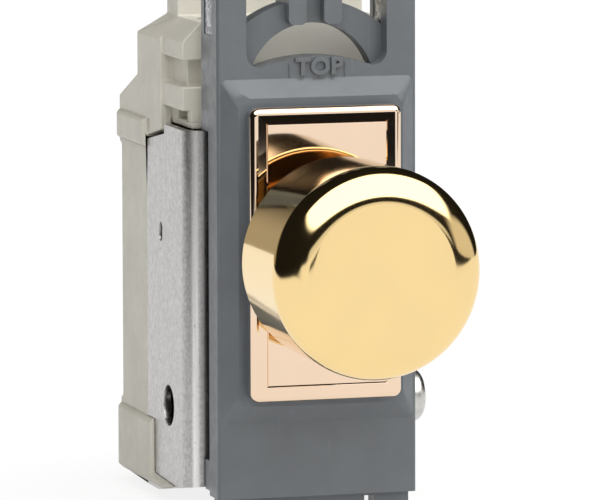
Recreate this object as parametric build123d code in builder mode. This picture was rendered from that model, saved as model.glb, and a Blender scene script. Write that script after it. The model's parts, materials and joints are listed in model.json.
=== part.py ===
from build123d import *
import os
from math import cos, pi, sin, sqrt

# Push and turn rotary dimmer, a module that snaps into a grid of switches.
# Millimetres. X to the right, Y into the wall, Z up. The origin is on the shaft axis, in the plane of the
# moulded frame's flat front.

os.makedirs("parts", exist_ok=True)

# Clearances
run_fit = 0.05          # radial, between turning or sliding pieces
loose_fit = 0.1         # around pieces that are pressed, screwed or dropped in

# Moulded frame
frame_w = 21.4
frame_t = 3.45          # thickness of the flat
frame_foot = 25.7       # from the shaft axis down to the end of the flat
frame_head = 28.6       # from the shaft axis up to the ends of the legs
leg_w = 3.15
leg_d = 6.05            # depth of a leg, front to back
leg_slot_end = 1.65     # from the leg's end down to the slot for the steel insert
leg_slot_h = 4.6
leg_slot_y = 2.2        # front wall of that slot
leg_slot_d = 2.8
edge_break = 0.35       # small round on moulded edges

# Sill below the window, and the sprung arch above it
sill_mid = 20.1
sill_end = 19.05
sill_corner = 1.5
arch_rise = 23.45       # underside of the arch at its middle
arch_in_r = 6.85
arch_t = 2.45           # thickness at the middle
arch_out_r = 11.5
arch_y = 2.0            # the arch stands this far behind the front
arch_d = 2.4
prong_gap = 1.9         # between the two prongs
prong_w = 1.9
prong_y = 0.45
prong_d = 5.0
prong_drop = 0.1        # how far the prongs hang below the arch
prong_round = 0.6

# Foot below the flat
foot_y = 1.2            # the foot is set back from the front
foot_h = 2.5
foot_w = 20.4
foot_notch_x = 5.95     # middle of each notch
foot_notch_top = 0.4    # from the end of the flat down to a notch
foot_notch_w = 1.1
foot_corner = 1.0
heel_w = 1.1            # ribs behind the lower corners of the flat
heel_d = 1.6
heel_h = 3.1
heel_rise = 0.5         # from the end of the flat up to the ribs

# Raised bezel
bezel_top = 17.9
bezel_bottom = 17.8
bezel_rise = 1.4
bezel_run = 1.85        # width of the slope
bezel_corner = 0.5
bezel_top_corner = 1.5
plinth_rise = 1.5       # step on the bezel that carries the face plate
plinth_inset = 0.1

# Brass face plate
plate_w = 16.2
plate_h = 30.5
plate_t = 0.8
plate_round = 0.55
plate_corner = 0.9
plate_hole_d = 7.2
plate_tab_w = 3.0
plate_tab_t = 0.8
plate_tab_l = 6.0
plate_tab_edge = 1.6    # from the plate's end to its tab

# Knob
knob_r = 10.58          # at the rear rim
knob_flare = 0.2        # growth of the wall towards the front
knob_back = 4.67        # from the face plate to the rear of the drum
knob_len = 15.4         # drum, rear to face
knob_edge = 2.75        # round of the front edge
knob_rim = 0.45         # round of the rear edge
knob_dome = 0.18
hub_r = 6.0
hub_len = 2.4
hub_bore_r = 4.6
knob_front_t = 3.6      # metal left in front of the bore
insert_back = 0.2       # the insert stops this far inside the hub
collet_y = 1.2          # from the insert's rear end to the spring ring
collet_w = 0.7
collet_t = 0.45

# Control shaft, bush and nut
shaft_d = 6.0
shaft_flat = 1.5        # flat on the knob end, from the axis
shaft_tip = 1.7         # shaft end to knob bore end
shaft_neck_d = 4.0
bush_d = 8.0
bush_end = 0.3          # from the bush end to the back of the face plate
flange_d = 13.0
flange_t = 1.2
nut_af = 11.0
nut_t = 2.0
washer_d = 13.0
washer_t = 0.5
push_travel = 1.6

# Folded aluminium heatsink bracket
bracket_w = 24.8
bracket_t = 0.8
bracket_bend = 2.2      # outer radius
bracket_set = 2.4       # the corners stand this far behind the web
bracket_set_x = 9.45    # outer face of the step between them
bracket_fold = 0.9      # outer radius of the step's folds
bracket_top = 12.1
bracket_back = 21.7     # depth of the side plates, from the frame's flat front
bracket_foot = 24.9     # lower end of the web
bracket_heel = 27.05    # lower end of the side plates
bracket_heel_y = 17.6
bracket_cut_y = 14.7    # the upper edge is cut down behind this
bracket_cut_h = 1.0
bracket_cut_end = 2.2
slit_y = 16.25
slit_z = 0.6
slit_w = 1.3
slit_h = 2.0
side_hole_d = 4.3
triac_y = 13.35
triac_z = -17.5

# Variable resistor and switch behind it
cup_d = 16.5
cup_wall = 1.0
cup_len = 6.05
track_t = 0.8
track_film = 0.1
track_r = 6.0
track_w = 1.6
track_span = 300
rotor_d = 13.4
rotor_t = 2.4
rotor_hub_d = 8.6
finger_t = 0.3
finger_w = 2.2
switch_w = 12.8
switch_h = 14.0
switch_wall = 1.0
switch_len = 9.6
plunger_t = 1.8
plunger_hub_d = 9.0
plunger_hub_l = 1.85
bridge_t = 0.5
bridge_w = 10.4
bridge_h = 1.4
bridge_gap = 0.4        # from the bridge to the switch's lower wall
contact_x = 4.0
contact_head_d = 1.6
contact_pin_d = 0.9
spring_d = 6.4
spring_wire = 0.45
spring_turns = 3.5

# Circuit board
board_w = 20.0
board_t = 1.6
board_top = 11.2
board_foot = 25.0
board_screw_x = 8.4
board_screw_z = (4.0, -23.0)
board_screw_d = 2.0
board_screw_head_d = 3.4
board_screw_head_h = 1.3
board_screw_l = 4.0

# Cream rear case
case_w = 24.8
case_wall = 1.4
case_back = 32.2        # rear face
case_band = 2.6         # how far the two bands stand out of the rear face
band_top = 12.9
band_foot = 9.0
low_band_top = -19.7
case_foot = 27.1
band_slope = 0.5
band_round = 2.2        # rear corners of the bands
clip_proud = 0.55       # side clips over the bracket
clip_lap = 2.7          # the lower clips reach this far over the bracket
clip_foot = -26.6
clip_top = 12.1
clip_slit = 0.7
clip_slit_h = 1.3
hook_root = 15.0        # lower edge of a clip, hooked under the bracket
hook_tip = 11.0
hook_top = -25.4
hook_low = -25.8
lip_lap = 2.0
lip_t = 1.2
lip_mid = -7.0
lip_h = 24.0
block_front = 8.4       # upper block, front face
block_back = 25.5
block_foot = 12.7
block_step = 16.5       # top of the slope behind the upper block
block_shoulder = 20.95  # where the 45 degree shoulders start
block_top = 23.2
pod_back = 16.2         # the front of the block is a little narrower than its rear
pod_inset = 0.3
cheek_t = 1.3           # skirts below the block, behind the bracket's upper edge
cheek_h = 1.3
cheek_end = 2.4
wall_front = 17.3       # standing wall on the upper block
wall_back = 21.6
wall_top = 27.6
wall_step = 21.05      # foot of the slope behind that wall
notch_deep = 1.3
notch_front = 3.0       # depth of the notches at their front end
notch_step = 10.2
notch_low = 16.5
notch_high = 19.3
low_notch_top = 14.0
low_notch_front = 2.5
low_notch_back = 13.9
post_w = 2.6
floor_front = 8.5

# Terminals
terminal_pitch = 7.2
terminal_xs = (-terminal_pitch, 0.0, terminal_pitch)
chamber_w = 6.0
chamber_top = 21.0
terminal_l = 11.4
terminal_h = 6.4
terminal_w = 5.6
terminal_y = 11.0
wire_d = 3.2
wire_z = 18.4
wire_depth = 10.2
tail_t = 0.8
tail_w = 3.0
tail_l = 6.0
clamp_y = 14.0
clamp_d = 3.4
clamp_l = 3.0
clamp_travel = 2.5
clamp_slot = 0.7
clamp_access = 0.2

# Components
triac_w = 10.0
triac_tab_l = 6.4
triac_tab_t = 1.3
triac_body_l = 9.0
triac_body_t = 4.4
triac_hole_z = 3.1      # from the tab's free end to the hole
triac_pitch = 2.54
lead_t = 0.6
lead_step = 1.2
pad_t = 0.2
m3 = 3.0
m3_nut_af = 5.5
m3_nut_t = 2.4
m3_washer_d = 6.6
m3_washer_t = 0.6
m3_head_d = 5.7
m3_head_h = 2.35
m3_len = 6.4            # shank, from under the head
frame_screw_d = 2.5
frame_screw_head_d = 4.4
frame_screw_head_h = 1.5
frame_screw_l = 2.6     # shank inside the frame
frame_screw_x = 6.0
frame_screw_z = (9.4, -20.6)
choke_r = 6.6
choke_hole_r = 3.4
choke_h = 3.6
choke_x = 0.0
choke_z = -13.0
winding_t = 0.9
winding_span = 290
cap_w = 12.5
cap_d = 9.6
cap_h = 4.6
cap_x = 0.0
cap_z = -22.1
small_cap_w = 5.0
small_cap_h = 2.4
small_cap_x = 1.4
small_cap_d = 4.4
resistor_d = 2.2
resistor_l = 5.6
resistor_x = -8.6
resistor_mid = -3.2
diode_d = 1.8
diode_l = 3.8
diode_mid = -5.6
diode_z = -16.4
fuse_d = 3.4
fuse_l = 11.0
fuse_mid = -2.6
fuse_cap_l = 2.4
fuse_z = -10.6
axial_lead_d = 0.6
fuse_lead = 0.9         # from a component's end to the bend of its lead
lead_rise = 0.25        # gap between a lying component and the board

# Depths along the shaft, front to back
seat_y = -bezel_rise - plinth_rise
face_y = seat_y - plate_t
web_y = frame_t + bracket_t
cup_y = web_y + flange_t
track_y = cup_y + cup_len
switch_y = track_y + track_t
board_y = switch_y + switch_len
board_back = board_y + board_t
drum_y = face_y - knob_back
knob_face = drum_y - knob_len
hub_y = drum_y + hub_len
bore_end = knob_face + knob_front_t
shaft_r = shaft_d / 2
shaft_front = bore_end + shaft_tip
plunger_y = switch_y + switch_wall + run_fit
plunger_plate_y = plunger_y + plunger_hub_l
plunger_back = plunger_plate_y + plunger_t
shaft_shoulder = plunger_plate_y - run_fit
shaft_back = plunger_back - 2 * loose_fit
bridge_drop = switch_h / 2 - switch_wall - bridge_gap - bridge_h / 2
leg_in = frame_w / 2 - leg_w
leg_slot_z = frame_head - leg_slot_end - leg_slot_h
bracket_in = bracket_w / 2 - bracket_t
case_in = case_w / 2 - case_wall
side_in = bracket_in - loose_fit


def front(y):
    """Plane parallel to the front at depth y; a positive extrusion goes forward."""
    return Plane.XZ.offset(-y)


def side(x):
    """Plane parallel to the side at x, with Y and Z as its axes; a positive extrusion goes to the right."""
    return Plane.YZ.offset(x)


def flatted(y, radius, flat):
    """Round section with one flat above the axis, on the plane at depth y."""
    with BuildSketch(front(y)) as section:
        Circle(radius)
        with Locations((0, flat - radius)):
            Rectangle(4 * radius, 2 * radius, mode=Mode.INTERSECT)
    return section.sketch


# Grey moulded frame: flat with two legs, sprung arch with two prongs, foot and raised bezel
leg_mid = leg_in + leg_w / 2
rail_foot = bracket_top + 2 * loose_fit
sill_x = leg_in - sill_corner
sill_cut = sill_corner * (1 - sqrt(0.5))
arch_in_z = arch_rise - arch_in_r
arch_out_z = arch_rise + arch_t - arch_out_r
prong_foot = arch_rise - prong_drop
bezel_h = bezel_top + bezel_bottom
bezel_z = (bezel_top - bezel_bottom) / 2
plinth_w = plate_w - 2 * plinth_inset
plinth_h = plate_h - 2 * plinth_inset
notch_z = -frame_foot - foot_notch_top - foot_h
heel_x = (frame_w - heel_w) / 2
heel_z = -frame_foot + heel_rise + heel_h / 2
tab_z = plate_h / 2 - plate_tab_edge - plate_tab_t / 2
nut_room = max(nut_af / cos(pi / 6), washer_d) / 2 + 8 * loose_fit
nut_floor = frame_t - washer_t - nut_t - 4 * loose_fit
with BuildPart() as grid_frame:
    with BuildSketch(front(frame_t)):
        with BuildLine():
            Polyline((-leg_in, sill_end + sill_corner), (-leg_in, frame_head), (-frame_w / 2, frame_head),
                     (-frame_w / 2, -frame_foot), (frame_w / 2, -frame_foot), (frame_w / 2, frame_head),
                     (leg_in, frame_head), (leg_in, sill_end + sill_corner))
            ThreePointArc((leg_in, sill_end + sill_corner), (leg_in - sill_cut, sill_end + sill_cut),
                          (sill_x, sill_end))
            ThreePointArc((sill_x, sill_end), (0, sill_mid), (-sill_x, sill_end))
            ThreePointArc((-sill_x, sill_end), (-leg_in + sill_cut, sill_end + sill_cut),
                          (-leg_in, sill_end + sill_corner))
        make_face()
    extrude(amount=frame_t)
    # the legs run back past the flat, above the bracket
    with BuildSketch(front(leg_d)):
        with Locations((-leg_mid, (rail_foot + frame_head) / 2), (leg_mid, (rail_foot + frame_head) / 2)):
            Rectangle(leg_w, frame_head - rail_foot)
    extrude(amount=leg_d)
    front_edges = grid_frame.edges().filter_by(Axis.Z).group_by(Axis.Y)[0].sort_by(Axis.X)
    fillet([front_edges[0], front_edges[-1]], edge_break)
    # slot through each leg for its steel insert
    with BuildSketch(side(-frame_w / 2)):
        with Locations((leg_slot_y + leg_slot_d / 2, leg_slot_z + leg_slot_h / 2)):
            Rectangle(leg_slot_d, leg_slot_h)
    extrude(amount=frame_w, mode=Mode.SUBTRACT)
    # sprung arch between the legs
    with BuildSketch(front(arch_y + arch_d)):
        with Locations((0, arch_out_z)):
            Circle(arch_out_r)
        with Locations((0, arch_in_z)):
            Circle(arch_in_r, mode=Mode.SUBTRACT)
        with Locations((0, (sill_end + frame_head) / 2)):
            Rectangle(2 * leg_in, frame_head - sill_end, mode=Mode.INTERSECT)
    extrude(amount=arch_d)
    # prongs on the arch
    with BuildSketch(front(prong_y + prong_d)):
        prong_x = (prong_gap + prong_w) / 2
        with Locations((-prong_x, (prong_foot + frame_head) / 2), (prong_x, (prong_foot + frame_head) / 2)):
            RectangleRounded(prong_w, frame_head - prong_foot, prong_round)
    extrude(amount=prong_d)
    # raised bezel with sloped sides
    with BuildSketch(front(0)):
        with Locations((0, bezel_z)):
            RectangleRounded(frame_w - 2 * edge_break, bezel_h, bezel_corner)
    with BuildSketch(front(-bezel_rise)):
        with Locations((0, bezel_z)):
            RectangleRounded(frame_w - 2 * bezel_run, bezel_h - 2 * bezel_run, bezel_top_corner)
    loft()
    # plinth that carries the face plate, and slots for the plate's tabs
    with BuildSketch(front(-bezel_rise)):
        RectangleRounded(plinth_w, plinth_h, plate_corner)
    extrude(amount=plinth_rise)
    with BuildSketch(front(frame_t)):
        with Locations((0, -tab_z), (0, tab_z)):
            Rectangle(plate_tab_w + 2 * loose_fit, plate_tab_t + 2 * loose_fit)
    extrude(amount=frame_t - seat_y, mode=Mode.SUBTRACT)
    # room for the bush, its nut and washer
    with BuildSketch(front(frame_t)):
        Circle(nut_room)
    extrude(amount=frame_t - nut_floor, mode=Mode.SUBTRACT)
    with BuildSketch(front(frame_t)):
        Circle(bush_d / 2 + loose_fit)
    extrude(amount=frame_t - seat_y, mode=Mode.SUBTRACT)
    with BuildSketch(front(frame_t)):
        for z in frame_screw_z:
            with Locations((-frame_screw_x, z), (frame_screw_x, z)):
                Circle(frame_screw_d / 2 + run_fit)
    extrude(amount=frame_screw_l + loose_fit, mode=Mode.SUBTRACT)
    # stepped foot with two notches
    with BuildSketch(front(frame_t)):
        with Locations((0, -frame_foot)):
            RectangleRounded(foot_w, 2 * foot_h, foot_corner)
        with Locations((-foot_notch_x, notch_z), (foot_notch_x, notch_z)):
            Rectangle(foot_notch_w, 2 * foot_h, mode=Mode.SUBTRACT)
    extrude(amount=frame_t - foot_y)
    # ribs behind the lower corners
    with BuildSketch(front(frame_t + heel_d)):
        with Locations((-heel_x, heel_z), (heel_x, heel_z)):
            Rectangle(heel_w, heel_h)
    extrude(amount=heel_d)
grid_frame.part.label = "grid_frame"
export_step(grid_frame.part, "parts/grid_frame.step")

# Plated steel insert in the slot of each leg
for name, mid in (("left", -leg_mid), ("right", leg_mid)):
    with BuildPart() as leg_insert:
        with BuildSketch(side(mid - leg_w / 2 + loose_fit)):
            with Locations((leg_slot_y + leg_slot_d / 2, leg_slot_z + (leg_slot_h - loose_fit) / 2)):
                Rectangle(leg_slot_d - 2 * run_fit, leg_slot_h - loose_fit)
        extrude(amount=leg_w - 2 * loose_fit)
    leg_insert.part.label = f"leg_insert_{name}"
    export_step(leg_insert.part, f"parts/leg_insert_{name}.step")

# Brass face plate with two tabs behind
with BuildPart() as face_plate:
    with BuildSketch(front(seat_y)):
        RectangleRounded(plate_w, plate_h, plate_corner)
    extrude(amount=seat_y - face_y)
    fillet(face_plate.faces().sort_by(Axis.Y)[0].edges(), plate_round)
    with BuildSketch(front(seat_y + plate_tab_l)):
        with Locations((0, -tab_z), (0, tab_z)):
            Rectangle(plate_tab_w, plate_tab_t)
    extrude(amount=plate_tab_l)
    with BuildSketch(front(seat_y)):
        Circle(plate_hole_d / 2)
    extrude(amount=plate_t, mode=Mode.SUBTRACT)
face_plate.part.label = "face_plate"
export_step(face_plate.part, "parts/face_plate.step")

# Brass knob: turned drum with a hub behind and a blind bore
knob_front_r = knob_r + knob_flare
knob_flat_r = knob_front_r - knob_edge
dome_radius = (knob_flat_r ** 2 + knob_dome ** 2) / (2 * knob_dome)
with BuildPart() as knob:
    with BuildSketch(Plane.XY):
        with BuildLine():
            Polyline((0, bore_end), (hub_bore_r, bore_end), (hub_bore_r, hub_y), (hub_r, hub_y), (hub_r, drum_y),
                     (knob_r - knob_rim, drum_y))
            RadiusArc((knob_r - knob_rim, drum_y), (knob_r, drum_y - knob_rim), knob_rim)
            Line((knob_r, drum_y - knob_rim), (knob_front_r, knob_face + knob_edge))
            RadiusArc((knob_front_r, knob_face + knob_edge), (knob_flat_r, knob_face), knob_edge)
            RadiusArc((knob_flat_r, knob_face), (0, knob_face - knob_dome), dome_radius)
            Line((0, knob_face - knob_dome), (0, bore_end))
        make_face()
    revolve(axis=Axis.Y)
knob.part.label = "knob"
export_step(knob.part, "parts/knob.step")

# Moulded insert pressed into the knob, with a flatted bore for the shaft and a groove for a spring ring
insert_r = hub_bore_r - run_fit
insert_end = hub_y - insert_back
insert_l = insert_end - bore_end - 6 * loose_fit
groove_r = insert_r - collet_t - run_fit
with BuildPart() as knob_insert:
    with BuildSketch(front(insert_end)):
        Circle(insert_r)
    extrude(amount=insert_l)
    with BuildSketch(front(insert_end - collet_y)):
        Circle(insert_r)
        Circle(groove_r, mode=Mode.SUBTRACT)
    extrude(amount=collet_w, mode=Mode.SUBTRACT)
    extrude(flatted(insert_end, shaft_r + run_fit, shaft_flat + run_fit), amount=insert_l, mode=Mode.SUBTRACT)
knob_insert.part.label = "knob_insert"
export_step(knob_insert.part, "parts/knob_insert.step")

with BuildPart() as collet_ring:
    with BuildSketch(Plane.XY):
        with Locations((groove_r + run_fit + collet_t / 2, insert_end - collet_y - collet_w / 2)):
            Rectangle(collet_t, collet_w - 2 * run_fit)
    revolve(axis=Axis.Y, revolution_arc=330)
collet_ring.part.label = "collet_ring"
export_step(collet_ring.part, "parts/collet_ring.step")

# Control shaft: flats at the knob and at the wiper, and a neck in the switch plunger
wiper_flat_y = cup_y + cup_wall - push_travel - 3 * loose_fit
with BuildPart() as control_shaft:
    with BuildSketch(front(wiper_flat_y)):
        Circle(shaft_r)
    extrude(amount=wiper_flat_y - insert_end)
    extrude(flatted(insert_end, shaft_r, shaft_flat), amount=insert_end - shaft_front)
    extrude(flatted(shaft_shoulder, shaft_r, shaft_flat), amount=shaft_shoulder - wiper_flat_y)
    with BuildSketch(front(shaft_back)):
        Circle(shaft_neck_d / 2)
    extrude(amount=shaft_back - shaft_shoulder)
    chamfer(control_shaft.faces().sort_by(Axis.Y)[0].edges().filter_by(GeomType.CIRCLE), 3 * loose_fit)
control_shaft.part.label = "control_shaft"
export_step(control_shaft.part, "parts/control_shaft.step")

# Bush that holds the shaft, clamped to the bracket by a washer and a nut
bush_front = seat_y + bush_end
with BuildPart() as pot_bush:
    with BuildSketch(front(cup_y)):
        Circle(flange_d / 2)
    extrude(amount=flange_t)
    with BuildSketch(front(web_y)):
        Circle(bush_d / 2)
    extrude(amount=web_y - bush_front)
    with BuildSketch(front(cup_y)):
        Circle(shaft_r + run_fit)
    extrude(amount=cup_y - bush_front, mode=Mode.SUBTRACT)
pot_bush.part.label = "pot_bush"
export_step(pot_bush.part, "parts/pot_bush.step")

with BuildPart() as bush_washer:
    with BuildSketch(front(frame_t)):
        Circle(washer_d / 2)
        Circle(bush_d / 2 + run_fit, mode=Mode.SUBTRACT)
    extrude(amount=washer_t)
bush_washer.part.label = "bush_washer"
export_step(bush_washer.part, "parts/bush_washer.step")

with BuildPart() as bush_nut:
    with BuildSketch(front(frame_t - washer_t)):
        RegularPolygon(nut_af / 2, 6, major_radius=False)
        Circle(bush_d / 2 + run_fit, mode=Mode.SUBTRACT)
    extrude(amount=nut_t)
bush_nut.part.label = "bush_nut"
export_step(bush_nut.part, "parts/bush_nut.step")

# Folded aluminium bracket that carries the works and cools the triac
corner_y = frame_t + bracket_set
with BuildPart() as heatsink_bracket:
    with BuildSketch(Plane.XY.offset(-bracket_heel)):
        with BuildLine() as fold:
            Polyline((-bracket_w / 2, bracket_back), (-bracket_w / 2, corner_y), (-bracket_set_x, corner_y),
                     (-bracket_set_x, frame_t), (bracket_set_x, frame_t), (bracket_set_x, corner_y),
                     (bracket_w / 2, corner_y), (bracket_w / 2, bracket_back))
            corners = fold.vertices().filter_by_position(Axis.Y, corner_y, corner_y).sort_by(Axis.X)
            fillet([corners[0], corners[-1]], bracket_bend)
            offset(amount=bracket_t, side=Side.LEFT)
        make_face()
    extrude(amount=bracket_heel + bracket_top)
    # upper edge of the side plates, cut down towards the rear
    with BuildSketch(side(-bracket_w / 2)):
        with BuildLine():
            Polyline((bracket_cut_y, bracket_top), (bracket_cut_y, bracket_top - bracket_cut_h),
                     (bracket_back, bracket_top - bracket_cut_end), (bracket_back, bracket_top), close=True)
        make_face()
    extrude(amount=bracket_w, mode=Mode.SUBTRACT)
    # sloped lower edge
    with BuildSketch(side(-bracket_w / 2)):
        with BuildLine():
            Polyline((frame_t, -bracket_foot), (web_y, -bracket_foot), (bracket_heel_y, -bracket_heel),
                     (frame_t, -bracket_heel), close=True)
        make_face()
    extrude(amount=bracket_w, mode=Mode.SUBTRACT)
    # holes in the web for the bush and the frame screws
    with BuildSketch(front(web_y)):
        Circle(bush_d / 2 + loose_fit)
        for z in frame_screw_z:
            with Locations((-frame_screw_x, z), (frame_screw_x, z)):
                Circle(frame_screw_d / 2 + loose_fit)
    extrude(amount=bracket_t, mode=Mode.SUBTRACT)
    # left side: round hole and slit
    with BuildSketch(side(-bracket_w / 2)):
        with Locations((triac_y, triac_z)):
            Circle(side_hole_d / 2)
        with Locations((slit_y, slit_z)):
            SlotOverall(slit_h, slit_w, rotation=90)
    extrude(amount=bracket_t, mode=Mode.SUBTRACT)
    # right side: hole for the triac's screw
    with BuildSketch(side(bracket_in)):
        with Locations((triac_y, triac_z)):
            Circle(m3 / 2 + loose_fit)
    extrude(amount=bracket_t, mode=Mode.SUBTRACT)
heatsink_bracket.part.label = "heatsink_bracket"
export_step(heatsink_bracket.part, "parts/heatsink_bracket.step")

# Screws that hold the frame to the bracket
with BuildPart() as frame_screws:
    for z in frame_screw_z:
        for x in (-frame_screw_x, frame_screw_x):
            with BuildSketch(front(web_y + frame_screw_head_h)):
                with Locations((x, z)):
                    Circle(frame_screw_head_d / 2)
                    Rectangle(frame_screw_head_d, clamp_slot, mode=Mode.SUBTRACT)
            extrude(amount=frame_screw_head_h / 2)
            with BuildSketch(front(web_y + frame_screw_head_h / 2)):
                with Locations((x, z)):
                    Circle(frame_screw_head_d / 2)
            extrude(amount=frame_screw_head_h / 2)
            with BuildSketch(front(web_y)):
                with Locations((x, z)):
                    Circle(frame_screw_d / 2)
            extrude(amount=bracket_t + frame_screw_l)
frame_screws.part.label = "frame_screws"
export_step(frame_screws.part, "parts/frame_screws.step")

# Variable resistor: cup, track, wiper
cup_in = cup_d / 2 - cup_wall
with BuildPart() as pot_housing:
    with BuildSketch(front(track_y)):
        Circle(cup_d / 2)
    extrude(amount=cup_len)
    with BuildSketch(front(track_y)):
        Circle(cup_in)
    extrude(amount=cup_len - cup_wall, mode=Mode.SUBTRACT)
    with BuildSketch(front(track_y)):
        Circle(shaft_r + 3 * loose_fit)
    extrude(amount=cup_len, mode=Mode.SUBTRACT)
pot_housing.part.label = "pot_housing"
export_step(pot_housing.part, "parts/pot_housing.step")

track_gap = pi - track_span / 2 * pi / 180
with BuildPart() as resistance_track:
    with BuildSketch(front(switch_y)):
        Circle(cup_d / 2)
        Circle(shaft_r + 3 * loose_fit, mode=Mode.SUBTRACT)
    extrude(amount=track_t)
    with BuildSketch(front(track_y)):
        Circle(track_r + track_w / 2)
        Circle(track_r - track_w / 2, mode=Mode.SUBTRACT)
        with BuildLine():
            Polyline((0, 0), (-cup_d * sin(track_gap), cup_d * cos(track_gap)),
                     (cup_d * sin(track_gap) / 4, cup_d * cos(track_gap)), close=True)
        make_face(mode=Mode.SUBTRACT)
    extrude(amount=track_film)
resistance_track.part.label = "resistance_track"
export_step(resistance_track.part, "parts/resistance_track.step")

rotor_y = cup_y + cup_wall + run_fit
rotor_end = track_y - run_fit
with BuildPart() as wiper_rotor:
    with BuildSketch(front(rotor_y + rotor_t)):
        Circle(rotor_d / 2)
    extrude(amount=rotor_t)
    with BuildSketch(front(rotor_end)):
        Circle(rotor_hub_d / 2)
    extrude(amount=rotor_end - rotor_y)
    extrude(flatted(rotor_end, shaft_r + run_fit, shaft_flat + run_fit), amount=rotor_end - rotor_y,
            mode=Mode.SUBTRACT)
wiper_rotor.part.label = "wiper_rotor"
export_step(wiper_rotor.part, "parts/wiper_rotor.step")

# Sprung finger that the rotor sweeps over the track
finger_y = rotor_y + rotor_t
finger_end = track_y - track_film - run_fit
finger_x = finger_w + 2 * loose_fit
with BuildPart() as wiper_spring:
    with BuildSketch(Plane.XY.offset(track_r - finger_w / 2)):
        with BuildLine():
            Polyline((-finger_x, finger_y), (-finger_t, finger_y), (finger_x - 2 * finger_t, finger_end - finger_t),
                     (finger_x, finger_end - finger_t), (finger_x, finger_end),
                     (finger_x - 2.6 * finger_t, finger_end), (-1.6 * finger_t, finger_y + finger_t),
                     (-finger_x, finger_y + finger_t), close=True)
        make_face()
    extrude(amount=finger_w / 2 + loose_fit)
wiper_spring.part.label = "wiper_spring"
export_step(wiper_spring.part, "parts/wiper_spring.step")

# Push switch behind the variable resistor
switch_in_w = switch_w - 2 * switch_wall
switch_in_h = switch_h - 2 * switch_wall
switch_end = board_y - switch_wall
with BuildPart() as switch_housing:
    with BuildSketch(front(board_y)):
        RectangleRounded(switch_w, switch_h, switch_wall)
    extrude(amount=switch_len)
    with BuildSketch(front(switch_end)):
        Rectangle(switch_in_w, switch_in_h)
    extrude(amount=switch_len - 2 * switch_wall, mode=Mode.SUBTRACT)
    with BuildSketch(front(switch_y + switch_wall)):
        Circle(shaft_r + 3 * loose_fit)
    extrude(amount=switch_wall, mode=Mode.SUBTRACT)
    with BuildSketch(front(board_y)):
        with Locations((-contact_x, -bridge_drop), (contact_x, -bridge_drop)):
            Circle(contact_pin_d / 2 + run_fit)
    extrude(amount=switch_wall, mode=Mode.SUBTRACT)
switch_housing.part.label = "switch_housing"
export_step(switch_housing.part, "parts/switch_housing.step")

with BuildPart() as switch_plunger:
    with BuildSketch(front(plunger_back)):
        Rectangle(switch_in_w - 4 * run_fit, switch_in_h - 4 * run_fit)
        Circle(shaft_neck_d / 2 + run_fit, mode=Mode.SUBTRACT)
    extrude(amount=plunger_t)
    with BuildSketch(front(plunger_plate_y)):
        Circle(plunger_hub_d / 2)
        Circle(shaft_r + run_fit, mode=Mode.SUBTRACT)
    extrude(amount=plunger_plate_y - plunger_y)
switch_plunger.part.label = "switch_plunger"
export_step(switch_plunger.part, "parts/switch_plunger.step")

with BuildPart() as contact_bridge:
    with BuildSketch(front(plunger_back + bridge_t)):
        with Locations((0, -bridge_drop)):
            RectangleRounded(bridge_w, bridge_h, bridge_h / 4)
    extrude(amount=bridge_t)
contact_bridge.part.label = "contact_bridge"
export_step(contact_bridge.part, "parts/contact_bridge.step")

contact_y = plunger_back + bridge_t + push_travel + run_fit
with BuildPart() as fixed_contacts:
    with BuildSketch(front(switch_end)):
        with Locations((-contact_x, -bridge_drop), (contact_x, -bridge_drop)):
            Circle(contact_head_d / 2)
    extrude(amount=switch_end - contact_y)
    with BuildSketch(front(board_back)):
        with Locations((-contact_x, -bridge_drop), (contact_x, -bridge_drop)):
            Circle(contact_pin_d / 2)
    extrude(amount=board_back - switch_end)
fixed_contacts.part.label = "fixed_contacts"
export_step(fixed_contacts.part, "parts/fixed_contacts.step")

# Return spring between the plunger and the switch's rear wall
spring_r = (spring_d - spring_wire) / 2
spring_run = switch_end - plunger_back - spring_wire
with BuildPart() as return_spring:
    with BuildLine():
        coil = Helix(spring_run / spring_turns, spring_run, spring_r,
                     center=(0, plunger_back + spring_wire / 2, 0), direction=(0, 1, 0))
    with BuildSketch(Plane(origin=coil @ 0, z_dir=coil % 0)):
        RegularPolygon(spring_wire / 2, 6)
    sweep(is_frenet=True)
return_spring.part.label = "return_spring"
export_step(return_spring.part, "parts/return_spring.step")

# Triac on the bracket's right side, with its insulating pad, screw, washer and nut
tab_x = bracket_in - pad_t
tab_foot = triac_z - triac_hole_z
body_foot = tab_foot + triac_tab_l
body_top = body_foot + triac_body_l
lead_x = tab_x - triac_body_t / 2
lead_rows = [(triac_y + triac_pitch * (1 - k), body_top + lead_step * (k + 0.8)) for k in range(3)]
with BuildPart() as triac:
    with BuildSketch(side(tab_x - triac_tab_t)):
        with Locations((triac_y, (tab_foot + body_foot) / 2)):
            Rectangle(triac_w, triac_tab_l)
        with Locations((triac_y, triac_z)):
            Circle(m3 / 2 + loose_fit, mode=Mode.SUBTRACT)
    extrude(amount=triac_tab_t)
    with BuildSketch(side(tab_x - triac_body_t)):
        with Locations((triac_y, (body_foot + body_top) / 2)):
            Rectangle(triac_w, triac_body_l)
    extrude(amount=triac_body_t)
    # three leads bent back into the board
    with BuildSketch(side(lead_x - lead_t / 2)):
        for y, z in lead_rows:
            with BuildLine():
                Polyline((y - lead_t / 2, body_top), (y + lead_t / 2, body_top), (y + lead_t / 2, z - lead_t / 2),
                         (board_back, z - lead_t / 2), (board_back, z + lead_t / 2), (y - lead_t / 2, z + lead_t / 2),
                         close=True)
            make_face()
    extrude(amount=lead_t)
triac.part.label = "triac"
export_step(triac.part, "parts/triac.step")

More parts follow.
